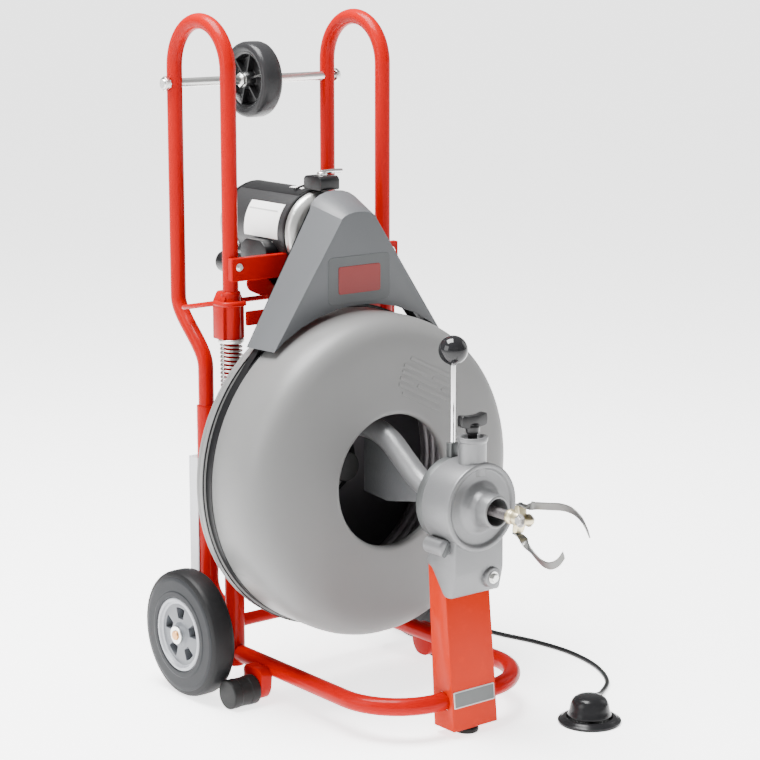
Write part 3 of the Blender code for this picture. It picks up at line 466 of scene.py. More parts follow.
# ---------------------------------------------------------------- shapes that repeat or follow a path
class Shape(Wiring):
    """A Geometry Nodes tree with named sizes, used on each piece that has the shape."""

    KINDS = {float: "NodeSocketFloat", int: "NodeSocketInt", tuple: "NodeSocketVector"}

    def __init__(self, name, **sizes):
        self.tree = bpy.data.node_groups.new(name, "GeometryNodeTree")
        super().__init__(self.tree)
        face = self.tree.interface
        face.new_socket("Geometry", in_out="INPUT", socket_type="NodeSocketGeometry")
        for word, default in sizes.items():
            made = face.new_socket(word, in_out="INPUT", socket_type=self.KINDS[type(default)])
            made.default_value = default
        face.new_socket("material", in_out="INPUT", socket_type="NodeSocketMaterial")
        face.new_socket("Geometry", in_out="OUTPUT", socket_type="NodeSocketGeometry")
        self.start = self.nodes.new("NodeGroupInput")

    def size(self, word):
        return Signal(self, self.start.outputs[word])

    def geo(self, kind, **sockets):
        """A Geometry Nodes node, with its sockets' names as keywords."""
        named = {word.replace("_", " "): value for word, value in sockets.items()}
        return self.node("GeometryNode" + kind, sockets=named)

    def joined(self, *parts):
        made = self.nodes.new("GeometryNodeJoinGeometry")
        for part in parts:
            self.links.new(part.socket, made.inputs[0])
        return Signal(self, made.outputs[0])

    def end(self, geometry):
        real = self.geo("RealizeInstances", Geometry=geometry)
        painted = self.geo("SetMaterial", Geometry=real, Material=self.size("material"))
        output = self.nodes.new("NodeGroupOutput")
        self.links.new(painted.socket, output.inputs[0])
        return self

    def made(self, name, source, material, body, *nodes, crease=35, **sizes):
        """The shape worked out on a source mesh, as a plain piece on its body."""
        obj = link(name, source)
        step = obj.modifiers.new("shape", "NODES")
        step.node_group = self.tree
        sizes["material"] = material
        for item in self.tree.interface.items_tree:
            if item.in_out == "INPUT" and item.name in sizes:
                step[item.identifier] = sizes[item.name]
        return finish(plain(obj), name, material, body, *nodes, crease=crease)


def tube_shape():
    shape = Shape("round_tube", radius=0.01, sides=24)
    path = shape.geo("MeshToCurve", Mesh=shape.size("Geometry"))
    section = shape.geo("CurvePrimitiveCircle", Resolution=shape.size("sides"), Radius=shape.size("radius"))
    return shape.end(shape.geo("CurveToMesh", Curve=path, Profile_Curve=section, Fill_Caps=True))


def coil_shape():
    shape = Shape("wound_wire", turns=10.0, radius=0.015, height=0.1, wire=0.0018, base=(0.0, 0.0, 0.0),
        turn=(0.0, 0.0, 0.0))
    spiral = shape.geo("CurveSpiral", Resolution=22, Rotations=shape.size("turns"),
        Start_Radius=shape.size("radius"), End_Radius=shape.size("radius"), Height=shape.size("height"))
    section = shape.geo("CurvePrimitiveCircle", Resolution=8, Radius=shape.size("wire"))
    wire = shape.geo("CurveToMesh", Curve=spiral, Profile_Curve=section, Fill_Caps=True)
    return shape.end(shape.geo("Transform", Geometry=wire, Translation=shape.size("base"),
        Rotation=shape.size("turn")))


def bolt_shape():
    """A washer and a hexagon head with a chamfered top on each point, facing along its own direction."""
    shape = Shape("bolt_heads", radius=0.006, height=0.004, sides=6, washer=0.008)
    radius, height = shape.size("radius"), shape.size("height")
    washer = shape.geo("MeshCylinder", Vertices=20, Radius=shape.size("washer"), Depth=0.0012)
    head = shape.geo("MeshCylinder", Vertices=shape.size("sides"), Radius=radius, Depth=height)
    top = shape.geo("MeshCone", Vertices=shape.size("sides"), Radius_Top=radius * 0.8, Radius_Bottom=radius,
        Depth=height * 0.18)
    lift = shape.node("ShaderNodeCombineXYZ", sockets={"Z": height * 0.5})
    rise = shape.node("ShaderNodeCombineXYZ", sockets={"Z": height})
    head = shape.geo("Transform", Geometry=head, Translation=lift)
    top = shape.geo("Transform", Geometry=top, Translation=rise)
    facing = shape.node("GeometryNodeInputNamedAttribute", {"data_type": "FLOAT_VECTOR"},
        {"Name": "facing"})
    aim = shape.node("FunctionNodeAlignRotationToVector", {"axis": "Z"}, {"Vector": facing})
    points = shape.geo("MeshToPoints", Mesh=shape.size("Geometry"))
    return shape.end(shape.geo("InstanceOnPoints", Points=points, Instance=shape.joined(washer, head, top),
        Rotation=aim))


def turns_shape():
    """One layer of the cable's turns in the drum: rings side by side along Y."""
    shape = Shape("cable_turns", radius=0.2, count=8, pitch=0.016, wire=0.008, base=(0.0, 0.0, 0.0))
    loop = shape.geo("CurvePrimitiveCircle", Resolution=72, Radius=shape.size("radius"))
    section = shape.geo("CurvePrimitiveCircle", Resolution=10, Radius=shape.size("wire"))
    ring = shape.geo("CurveToMesh", Curve=loop, Profile_Curve=section)
    upright = shape.geo("Transform", Geometry=ring, Rotation=(math.pi / 2, 0.0, 0.0))
    step = shape.node("ShaderNodeCombineXYZ", sockets={"Y": shape.size("pitch")})
    row = shape.node("GeometryNodeMeshLine", {"mode": "OFFSET"},
        {"Count": shape.size("count"), "Start Location": shape.size("base"), "Offset": step})
    return shape.end(shape.geo("InstanceOnPoints", Points=row, Instance=upright))


def fan_shape():
    """Bars set round an axis along X, each pointing outwards."""
    shape = Shape("bars_round_axis", count=6, radius=0.03, bar=(0.01, 0.004, 0.02), base=(0.0, 0.0, 0.0),
        twist=0.0)
    bar = shape.geo("MeshCube", Size=shape.size("bar"))
    index = shape.node("GeometryNodeInputIndex")
    angle = index * math.tau / shape.size("count") + shape.size("twist")
    up = shape.node(shape.MATH, {"operation": "COSINE"}, {0: angle})
    over = shape.node(shape.MATH, {"operation": "SINE"}, {0: angle})
    place = shape.node("ShaderNodeCombineXYZ", sockets={"Y": -1 * over * shape.size("radius"),
        "Z": up * shape.size("radius")})
    turn = shape.node("ShaderNodeCombineXYZ", sockets={"X": angle})
    points = shape.geo("Points", Count=shape.size("count"), Position=place)
    bars = shape.geo("InstanceOnPoints", Points=points, Instance=bar, Rotation=turn)
    return shape.end(shape.geo("Transform", Geometry=bars, Translation=shape.size("base")))


TUBE, WOUND, BOLTS, CABLE_TURNS, FAN = tube_shape(), coil_shape(), bolt_shape(), turns_shape(), fan_shape()


def path_mesh(points):
    mesh = bpy.data.meshes.new("path")
    mesh.from_pydata([tuple(p) for p in points], [(i, i + 1) for i in range(len(points) - 1)], [])
    return mesh


def heads(name, spots, material, body, **sizes):
    """Bolt heads at (place, facing) spots."""
    mesh = bpy.data.meshes.new("spots")
    mesh.from_pydata([tuple(place) for place, _ in spots], [], [])
    facing = mesh.attributes.new("facing", "FLOAT_VECTOR", "POINT")
    for i, (_, way) in enumerate(spots):
        facing.data[i].vector = Vector(way).normalized()
    return BOLTS.made(name, mesh, material, body, crease=25, **sizes)


def smooth_path(route, spacing):
    """Points at even steps along the smooth curve through a route's own points."""
    dense = []
    padded = [route[0], *route, route[-1]]
    for corners in zip(padded, padded[1:], padded[2:], padded[3:]):
        a, b, c, d = (Vector(corner) for corner in corners)
        for i in range(24):
            t = i / 24
            dense.append(b + 0.5 * ((c - a) * t + (2 * a - 5 * b + 4 * c - d) * t ** 2
                + (3 * b - 3 * c + d - a) * t ** 3))
    dense.append(Vector(route[-1]))
    picked, run = [dense[0]], 0.0
    for first, second in zip(dense, dense[1:]):
        run += (second - first).length
        if run >= spacing:
            picked.append(second)
            run = 0.0
    if (picked[-1] - dense[-1]).length < spacing / 2:
        picked.pop()
    return picked + [dense[-1]]


def ease(t):
    t = min(max(t, 0.0), 1.0)
    return t * t * (3 - 2 * t)


# ---------------------------------------------------------------- air hose and foot switch
def hose_route():
    """Down from the air switch, a little over three turns on the floor, and along to the pedal."""
    lie, top = HOSE_R + 0.0002, 0.0114
    drop = [(AIR_SWITCH_X, 0.3988, AIR_SWITCH_Z), (AIR_SWITCH_X, 0.412, AIR_SWITCH_Z), (0.069, 0.43, 0.662),
        (0.074, 0.438, 0.62), (0.084, 0.441, 0.5), (0.098, 0.443, 0.36), (0.118, 0.446, 0.22),
        (0.145, 0.452, 0.1), (0.176, 0.46, 0.034), (0.212, 0.468, 0.008), (0.242, 0.478, lie)]
    turns = []
    for swept in range(0, 1171, 15):
        radius = 0.0568 - 0.0088 * ease(swept / 60) - 0.008 * ease((swept - 360) / 60)
        radius += 0.004 * ease((swept - 720) / 80) + 0.008 * ease((swept - 960) / 120)
        radius += 0.0048 * ease((swept - 1080) / 90)
        height = lie + (0.0082 - 0.0008 * ease((swept - 770) / 40)) * ease((swept - 680) / 76)
        height += 0.0012 * ease((swept - 1030) / 60)
        height -= 0.0086 * ease((swept - 1115) / 100)
        angle = math.radians(90 - swept)
        turns.append((COIL.x + radius * math.cos(angle), COIL.y + radius * math.sin(angle), height))
    run = [(0.327, 0.402, 0.005), (0.3265, 0.375, lie), (0.33, 0.3, lie), (0.338, 0.22, lie),
        (0.352, 0.14, lie), (0.371, 0.07, lie), (0.378, -0.01, lie), (0.362, -0.09, lie),
        (0.325, -0.155, lie), (0.277, -0.192, 0.0055), (0.252, -0.2065, 0.0105), (0.236, -0.2159, 0.014),
        (0.2244, -0.226, 0.014)]
    return smooth_path(drop + turns + run, 0.006)


def air_hose():
    route = hose_route()
    curve = bpy.data.curves.new("air_hose", "CURVE")
    curve.dimensions = "3D"
    line = curve.splines.new("POLY")
    line.points.add(len(route) - 1)
    for knot, point in zip(line.points, route):
        knot.co = (*point, 1.0)
    curve.bevel_depth = HOSE_R
    curve.bevel_resolution = 4
    curve.use_fill_caps = True
    curve.materials.append(HOSE)
    hose = bpy.data.objects.new("air_hose", curve)
    bpy.context.scene.collection.objects.link(hose)
    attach(hose, "frame")
    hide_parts("hose_drop", "hose_coil", "hose_run")
    length = sum((b - a).length for a, b in zip(route, route[1:]))
    return hose, route[0], length


def foot_switch():
    rim = [(0, 0.0028), (0.0362, 0.0028), (0.0362, 0.0085), (0.037, 0.0095), (0.0405, 0.0095),
        (0.0425, 0.0085), (0.045, 0.0066), (0.0485, 0.0055), (0.05, 0.0042), (0.05, 0.0012), (0.049, 0),
        (0, 0)]
    bm = turned(rim, "Z", PEDAL, 72)
    base = finish(solid("pedal_rim", bm), "pedal_rim", PEDAL_RUBBER, "frame", "pedal_base")
    neck = [PEDAL + Vector((0.036, 0.031, 0.0135)), PEDAL + Vector((0.0484, 0.042, 0.014)),
        PEDAL + Vector((0.06, 0.0521, 0.014))]
    sleeve = TUBE.made("hose_sleeve", path_mesh(neck), PEDAL_RUBBER, "frame", radius=0.0064, sides=20)
    bell = [(0, 0.044), (0.006, 0.0439), (0.0135, 0.0433), (0.0195, 0.0419), (0.0245, 0.0392),
        (0.028, 0.035), (0.03, 0.03), (0.0312, 0.024), (0.0325, 0.018), (0.0345, 0.0138), (0.0345, 0.0127),
        (0.0335, 0.0122), (0, 0.0122)]
    dome = spun("pedal_bell", bell, "Z", PEDAL, 72, PEDAL_RUBBER, "pedal", "pedal_dome", crease=50)
    return [base, sleeve, dome]


hose, hose_exit, hose_length = air_hose()
switch_pieces = foot_switch()


# ---------------------------------------------------------------- lower frame
def floor_tube():
    corner = arc((-TRACK + BASE_BEND_R, BASE_FRONT_Y + BASE_BEND_R), BASE_BEND_R, 180, 270, 20)
    outline = [(-TRACK, 0.2117), *corner, *[(-x, y) for x, y in reversed(corner)], (TRACK, 0.2117)]
    TUBE.made("floor_tube", path_mesh([(x, y, BASE_Z) for x, y in outline]), RED, "frame", "base_tube",
        radius=BASE_R, sides=32)
    for side, word in SIDES:
        ear = eased([(0.108, 0.06), (0.162, 0.06), (0.158, 0.022), (0.146, 0.007), (0.122, 0.007),
            (0.112, 0.022)], 0.014, cuts=5)
        low, high = sorted((side * 0.1655, side * 0.187))
        cut(f"foot_bracket_{word}", side_prism(ear, low, high), 0.0015, RED, "frame", slot="base_tube")
        low, high = sorted((side * 0.1868, side * 0.2381))
        half = (high - low) / 2
        profile = eased(mirrored([(0, half), (0.024, half), (0.024, 0.01), (0.0233, 0.009)]), 0.003,
            closed=False)
        spun(f"rear_pad_{word}", profile, "X", ((low + high) / 2, 0.133, 0.024), 48, RUBBER, "frame",
            f"rear_foot_{word}")


def masts():
    for side, word in SIDES:
        x = side * TRACK
        outer = [(0.0134, 0.462), (0.0134, 0.4768), (0.0142, 0.478), (0.0152, 0.478), (0.016, 0.4768),
            (0.016, 0.036), (0.0145, 0.034), (0.0134, 0.034), (0.0134, 0.06)]
        spun(f"mast_tube_{word}", outer, "Z", (x, MAST_Y, 0), 40, RED, "frame", f"mast_{word}")
        bend = arc((REAR_Y - 0.04, 0.165), 0.04, 0, -70, 14)
        meet_y = MAST_Y + 0.012
        meet_z = bend[-1][1] - (bend[-1][0] - meet_y) * math.tan(math.radians(20))
        route = [(x, REAR_Y, 0.458)] + [(x, y, z) for y, z in bend] + [(x, meet_y, meet_z)]
        TUBE.made(f"rear_tube_fine_{word}", path_mesh(route), RED, "frame", f"rear_tube_{word}",
            radius=MAST_R, sides=32)
        refined(f"slide_rail_{word}", WHITE, 40, 0.0008, 1)
    spots = [((side * TRACK, REAR_Y + 0.0192, z), (0, 1, 0)) for side in (-1, 1)
        for z in (0.19, 0.271, 0.352)]
    heads("strip_screws", spots, ZINC, "frame", radius=0.0034, height=0.0016, washer=0.0046, sides=16)


def axle_pieces():
    at = (0, AXLE_Y, AXLE_Z)
    end = WHEEL_OUT_X + 0.007
    bm = turned(eased(oblong(0, end, 0.0075, -end), 0.0012, closed=False), "X", at, 32)
    finish(solid("axle_bar", bm), "axle_bar", COPPER, "frame", "axle")
    for side, word in SIDES:
        face = side * (WHEEL_OUT_X + 0.0012)
        cap = eased([(0.0078, 0.0), (0.0078, 0.003), (0.015, 0.003), (0.015, 0.0)], 0.0008)
        cap = [(r, face + side * h) for r, h in cap]
        spun(f"axle_washer_{word}", cap, "X", at, 40, ZINC, "frame", slot="axle")
    reach = TRACK - 0.01
    tie = oblong(0.0078, reach, 0.0105, -reach)
    spun("axle_sleeve", tie, "X", at, 32, RED, "frame", "axle_tube")


def leg_and_feed():
    refined("front_leg", ORANGE, 30, 0.0038, 3)
    profile = eased([(0, 0.0117), (0.015, 0.0117), (0.019, 0.006), (0.0185, 0.0), (0, 0.0)], 0.0012,
        closed=False)
    spun("leg_pad", profile, "Z", (0, -0.176, 0), 40, RUBBER, "frame", "front_foot")
    lean = math.atan2(0.1983 - 0.171, 0.272 - 0.012)
    up = Vector((0, math.sin(lean), math.cos(lean)))
    face = Vector((0, -0.1983, 0.012)) + up * 0.049
    for name, half_w, half_h, depth, material in (("badge_edge", 0.041, 0.013, 0.0012, GREY_INK),
            ("badge_field", 0.0392, 0.0112, 0.0017, OILED)):
        outline = eased(oblong(-half_w, -half_h, half_w, half_h), 0.0016)
        plate = prism(outline, -0.0004, depth, (1, 0, 0), up, face)
        finish(bevelled(solid(name, plate), 0.0003, 1), name, material, "frame", slot="front_leg")
    refined("drum_support", RED, 35, 0.001, 1)

    at = (0, 0, DRUM_Z)
    front, rear = FEED_FRONT_Y, FEED_REAR_Y
    body = eased([(0.05, rear), (0.069, rear), (0.069, front), (0.0615, front), (0.0585, front + 0.005),
        (0.04, front + 0.005), (0.03, front - 0.003), (0.0262, front - 0.012), (0.0255, -0.2435),
        (0.0205, -0.2435), (0.0205, front + 0.012), (0.05, front + 0.012)], 0.0032, cuts=4)
    spun("feed_body", body, "Y", at, 96, CASTING, "frame", "feed_housing")
    outline = eased([(-0.203, 0.335), (-0.204, 0.262), (-0.1948, 0.2245), (-0.176, 0.2245), (-0.146, 0.266),
        (-0.133, 0.27), (-0.1375, 0.284), (-0.1465, 0.292), (-0.1465, 0.335)], 0.006)
    saddle = side_prism(outline, -0.0485, 0.0485)
    turned([(0, -0.191), (0.0105, -0.191), (0.013, -0.188), (0.013, -0.152), (0.0105, -0.149), (0, -0.149)],
        "Y", (-0.057, 0, 0.3055), 32, saddle)
    finish(bevelled(solid("feed_saddle", saddle), 0.003, 3, 40), "feed_saddle", CASTING, "frame",
        slot="feed_housing")
    boss = eased([(0.009, BOSS_TOP_Z - 0.006), (0.0155, BOSS_TOP_Z - 0.006), (0.0172, BOSS_TOP_Z),
        (0.0236, BOSS_TOP_Z), (0.024, BOSS_TOP_Z - 0.006), (0.0218, BOSS_TOP_Z - 0.0085), (0.0218, 0.412),
        (0.009, 0.412)], 0.0014)
    spun("feed_boss", boss, "Z", (0, BOSS_Y, 0), 48, CASTING, "frame", slot="feed_housing")
    round_boss = eased([(0, -0.2085), (0.0155, -0.2085), (0.0175, -0.196), (0, -0.196)], 0.002,
        closed=False)
    spun("bolt_boss", round_boss, "Y", (0.024, 0, 0.25), 40, CASTING, "frame", slot="feed_housing")
    # Painted shade: a thin dark plate on the saddle's ear stands in for the shade inside its slot; no slot
    # is cut.
    slot = eased(oblong(-0.0035, -0.012, 0.0035, 0.012), 0.0033)
    slot_shade = prism(slot, -0.0006, 0.0004, (0.85, 0, -0.5), (0.5, 0, 0.85), (-0.056, -0.1912, 0.303))
    finish(solid("ear_slot_shade", slot_shade), "ear_slot_shade", OILED, "frame", slot="feed_housing")
    heads("feed_bolts", [((0.024, -0.209, 0.25), (0, -1, 0)), ((0.0488, -0.172, 0.262), (1, 0, 0))], ZINC,
        "frame", radius=0.0068, height=0.005, washer=0.0095)
    for word in ("top", "left", "right"):
        refined(f"feed_roller_{word}", ZINC, 35, 0.0008, 1)


def lever_and_screw():
    at, rear = (0, 0, DRUM_Z), FEED_REAR_Y
    collar = eased(oblong(0.0312, rear + 0.0004, 0.0668, -0.1302), 0.0016)
    spun("lever_collar", collar, "Y", at, 80, OILED, "feed_lever", "lever_ring")
    cut("lever_link", brick((-0.0078, -0.1442, 0.424), (0.0078, -0.1318, 0.453)), 0.0016, OILED,
        "feed_lever", slot="lever_ring")
    rod = eased(oblong(0, 0.578, 0.004, 0.452), 0.0004, closed=False)
    spun("lever_stem", rod, "Z", (0, LEVER_Y, 0), 24, CHROME, "feed_lever", "lever_rod")
    ball = arc((0, LEVER_BALL_Z), LEVER_BALL_R, 90, -72, 27)
    ball[0] = (0, LEVER_BALL_Z + LEVER_BALL_R)
    ball += [(0.0065, 0.5742), (0.0055, 0.5738), (0, 0.5738)]
    spun("lever_knob", ball, "Z", (0, LEVER_Y, 0), 48, GLOSS_BLACK, "feed_lever", "lever_ball", crease=60)

    screw = eased([(0, 0.4905), (0.0098, 0.4905), (0.0115, 0.486), (0.01, 0.4765), (0.0076, 0.474),
        (0.0076, 0.43), (0, 0.43)], 0.0012, closed=False)
    bm = turned(screw, "Z", (0, BOSS_Y, 0), 32)
    wings = eased([(-0.024, 0.506), (-0.025, 0.496), (-0.024, 0.487), (-0.01, 0.485), (0.01, 0.485),
        (0.024, 0.487), (0.025, 0.496), (0.024, 0.506), (0.01, 0.503), (-0.01, 0.503)], 0.0035)
    prism(wings, -0.006, 0.006, (1, 0, 0), (0, 0, 1), (0, BOSS_Y, 0), bm)
    cut("wing_screw", bm, 0.001, BLACK, "pressure_screw", "pressure_knob")


# ---------------------------------------------------------------- wheels
def road_wheels():
    half = WHEEL_W / 2
    for side, word in SIDES:
        body = f"wheel_{word}"
        at = (side * (WHEEL_OUT_X - half), AXLE_Y, AXLE_Z)
        tread = [(0.0925, half - 0.003), (0.097, half - 0.0034), (0.1006, half - 0.0056),
            (0.1024, half - 0.0088), (0.1034, half - 0.0125), (WHEEL_R, 0.0)]
        profile = tread + [(r, -h) for r, h in reversed(tread[:-1])]
        spun(f"tyre_fine_{word}", profile, "X", at, WHEEL_STEPS, TYRE, body, f"tyre_{word}", crease=28)
        for face, tag in ((1, "outer"), (-1, "inner")):
            wall = eased([(RIM_R + 0.0004, half - 0.004), (RIM_R + 0.0004, half - 0.001),
                (RIM_R + 0.003, half), (0.07, half), (0.0715, half - 0.001), (0.088, half - 0.001),
                (0.093, half - 0.0022), (0.0945, half - 0.0045), (0.093, half - 0.008),
                (RIM_R + 0.0004, half - 0.008)], 0.0009)
            wall = [(r, face * side * h) for r, h in wall]
            spun(f"sidewall_{tag}_{word}", wall, "X", at, WHEEL_STEPS, SIDEWALL, body, slot=f"tyre_{word}")
        ring = eased(mirrored([(RIM_R, half - 0.001), (RIM_R - 0.002, half + 0.0002),
            (0.0545, half + 0.0002), (0.053, half - 0.004), (0.05, half - 0.005)]), 0.001)
        spun(f"rim_ring_{word}", ring, "X", at, 80, BRIGHT_RIM, body, f"rim_{word}")
        disc = eased(mirrored([(0.0078, half), (0.014, half), (0.016, half - 0.003), (0.02, half - 0.006),
            (0.0505, half - 0.006)]), 0.001)
        disc = solid("disc", turned(disc, "X", at, 80))
        holes = bmesh.new()
        for k in range(WHEEL_HOLES):
            middle = 90 + 360 / WHEEL_HOLES * k
            wedge = (arc((at[1], at[2]), 0.0255, middle - 15, middle + 15, 4)
                + arc((at[1], at[2]), 0.044, middle + 16, middle - 16, 6))
            side_prism(eased(wedge, 0.0035), at[0] - 0.05, at[0] + 0.05, holes)
        holes = solid("holes", holes)
        step = disc.modifiers.new("holes", "BOOLEAN")
        step.operation, step.solver, step.object = "DIFFERENCE", "EXACT", holes
        disc = plain(disc)
        bpy.data.objects.remove(holes)
        finish(bevelled(disc, 0.0007, 1), f"wheel_disc_{word}", RIM, body, slot=f"rim_{word}")
        # Painted shade: a black web at the middle of the hub, seen through its holes, stands in for the
        # shade inside them.
        web = oblong(0.0215, 0.003, 0.05, -0.003)
        spun(f"wheel_pocket_shade_{word}", web, "X", at, 48, BLACK, body, slot=f"rim_{word}")


def load_wheel():
    at = (0, HANDLE_REAR_Y, LOAD_Z)
    w = LOAD_HALF_W
    right = [(0.0465, w - 0.004), (0.05, w - 0.001), (0.054, w), (0.058, w - 0.0012), (0.0612, w - 0.0045),
        (0.0627, w - 0.009), (LOAD_R, 0.0)]
    profile = right + [(r, -h) for r, h in reversed(right[:-1])]
    spun("small_tyre", profile, "X", at, 72, GLOSS_TYRE, "load_wheel", "load_wheel_tyre", crease=40)
    rim = eased(mirrored([(0.0083, w), (0.0125, w), (0.015, 0.013), (0.017, 0.0045), (0.038, 0.0035),
        (0.0425, w - 0.006), (0.0466, w - 0.0035)]), 0.001)
    spun("small_hub", rim, "X", at, 64, BLACK, "load_wheel", "load_wheel_hub")
    FAN.made("small_wheel_ribs", bpy.data.meshes.new("none"), BLACK, "load_wheel", count=SMALL_WHEEL_RIBS,
        radius=0.029, bar=(0.03, 0.0032, 0.029), base=at, twist=0.3)
    bore = eased(oblong(0.0084, w + 0.0004, 0.0112, w - 0.002), 0.0003)
    for side, word in SIDES:
        ring = [(r, side * h) for r, h in bore]
        spun(f"small_bush_{word}", ring, "X", at, 32, ZINC, "load_wheel",
            slot="load_wheel_hub")


# ---------------------------------------------------------------- drum and cable
def drum_pieces():
    at, front, seam, rear = (0, 0, DRUM_Z), DRUM_FRONT_Y, DRUM_SEAM_Y, DRUM_REAR_Y
    groove = BELT_R - BELT_THICK - 0.0015
    lip_rear, lip_front = BELT_Y + BELT_HALF_W + 0.001, BELT_Y - BELT_HALF_W - 0.001
    outer = [(0.2655, seam), (0.266, seam - 0.001), (0.266, lip_rear + 0.0006), (0.2652, lip_rear),
        (groove + 0.001, lip_rear - 0.0004), (groove, lip_rear - 0.0014), (groove, lip_front + 0.0014),
        (groove + 0.001, lip_front + 0.0004), (0.2612, lip_front), (0.262, lip_front - 0.001),
        (0.262, front + 0.058), (0.2612, front + 0.046), (0.2588, front + 0.035), (0.2548, front + 0.0255),
        (0.2492, front + 0.018), (0.242, front + 0.012), (0.233, front + 0.0078), (0.222, front + 0.0052),
        (0.206, front + 0.0034), (0.175, front + 0.002), (0.14, front + 0.0008), (OPENING_R + 0.009, front),
        (OPENING_R + 0.0045, front + 0.0004), (OPENING_R + 0.0015, front + 0.002),
        (OPENING_R, front + 0.0048), (OPENING_R, front + 0.012)]
    inner = [(OPENING_R + 0.005, front + 0.012), (OPENING_R + 0.007, front + 0.006),
        (0.204, front + 0.0085), (0.235, front + 0.016), (0.25, front + 0.031), (0.2575, front + 0.056),
        (0.2575, lip_front - 0.012), (groove - 0.0045, lip_front - 0.004), (groove - 0.0045, seam)]
    spun("drum_front_fine", outer + inner, "Y", at, DRUM_STEPS, DRUM, "drum", "drum_front_shell", crease=50)
    lip = groove - 0.005
    back = [(0.03, rear), (0.15, rear), (0.23, rear - 0.004), (0.244, rear - 0.0074),
        (0.255, rear - 0.0124), (0.262, rear - 0.018), (0.2652, rear - 0.0225), (0.266, rear - 0.026),
        (0.2655, seam + 0.0004), (lip, seam + 0.0003), (lip, seam - 0.006), (lip - 0.005, seam - 0.006),
        (lip - 0.007, rear - 0.02), (0.23, rear - 0.011), (0.15, rear - 0.0045), (0.03, rear - 0.0045)]
    spun("drum_rear_fine", back, "Y", at, 144, DRUM, "drum", "drum_rear_shell", crease=50)
    hub = eased([(0.0125, rear + 0.005), (0.0295, rear + 0.005), (0.0295, rear - 0.0048),
        (0.06, rear - 0.0048), (0.06, rear - 0.0105), (0.027, rear - 0.014), (0.024, 0.132),
        (0.0125, 0.132)], 0.001)
    spun("drum_hub_fine", hub, "Y", at, 64, RUBBER, "drum", "drum_hub")
    cap = eased([(0, 0.1335), (0.017, 0.1335), (0.0236, 0.131), (0.0238, 0.1285), (0, 0.1285)], 0.001,
        closed=False)
    cap = [(r, h - 0.004) for r, h in cap]
    spun("hub_cap", cap, "Y", at, 48, RUBBER, "drum", slot="drum_hub")
    lining = [(0.061, rear - 0.0048), (0.15, rear - 0.0048), (0.229, rear - 0.0114), (0.228, rear - 0.0124),
        (0.15, rear - 0.006), (0.061, rear - 0.006)]
    spun("drum_lining", lining, "Y", at, 96, LINING, "drum", slot="drum_rear_shell")
    heads("hub_bolts", [((x, rear - 0.011, DRUM_Z + z), (0, -1, 0))
        for x, z in arc((0, 0), 0.045, 0, 300, 5)] + [((x, rear + 0.0004, DRUM_Z + z), (0, 1, 0))
        for x, z in arc((0, 0), 0.045, 0, 300, 5)], ZINC, "drum", radius=0.005, height=0.0035, washer=0.007)
    # Painted shade: dark rings at both edges of the belt groove stand in for the shade on the groove's
    # walls.
    for word, edge, reach, over in (("front", lip_front, 0.2629, -0.0028),
            ("rear", lip_rear, 0.2668, 0.0024)):
        rim = [(0.2555, edge), (0.2555, edge + over), (reach, edge + over), (reach, edge)]
        spun(f"groove_painted_shade_{word}", rim, "Y", at, DRUM_STEPS, BELT, "drum", slot="drum_front_shell")
    moulding_block()
    for layer, (radius, count) in enumerate(((0.2335, 6), (0.2195, 7), (0.205, 6), (0.191, 7),
            (0.1765, 5))):
        nodes = ("cable_coil",) if layer == 0 else ()
        CABLE_TURNS.made(f"cable_layer_{layer + 1}", bpy.data.meshes.new("none"), COILED, "drum", *nodes,
            crease=60, radius=radius, count=count, pitch=CABLE_PITCH, wire=CABLE_WIRE_R,
            base=(0.0, 0.06 + CABLE_PITCH / 2 * (layer % 2 == 0), DRUM_Z))


def moulding_block():
    """Low plain bars moulded on the drum's front, in the place of a panel of small type."""
    bm = bmesh.new()
    rows = [(0.1905, (-0.052, 0.05)), (0.176, (-0.06, -0.006, 0.004, 0.062)),
        (0.1655, (-0.06, 0.02, 0.03, 0.06)), (0.155, (-0.06, -0.03, -0.02, 0.062)),
        (0.1445, (-0.058, 0.034)), (0.134, (-0.046, 0.046))]
    for height, ends in rows:
        for left, right in zip(ends[::2], ends[1::2]):
            bar = eased(oblong(left, -0.0026, right, 0.0026), 0.002)
            tilt = math.radians(-26)
            along, up = Vector((math.cos(tilt), 0, math.sin(tilt))), Vector((-math.sin(tilt), 0,
                math.cos(tilt)))
            front = DRUM_FRONT_Y + 0.0008 + 0.0012 * (height - 0.14) / 0.035
            prism(bar, -0.001, 0.0006, along, up, Vector((0, front, DRUM_Z)) + up * height, bm)
    finish(solid("moulded_bars", bm), "moulded_bars", DRUM, "drum", slot="drum_front_shell")


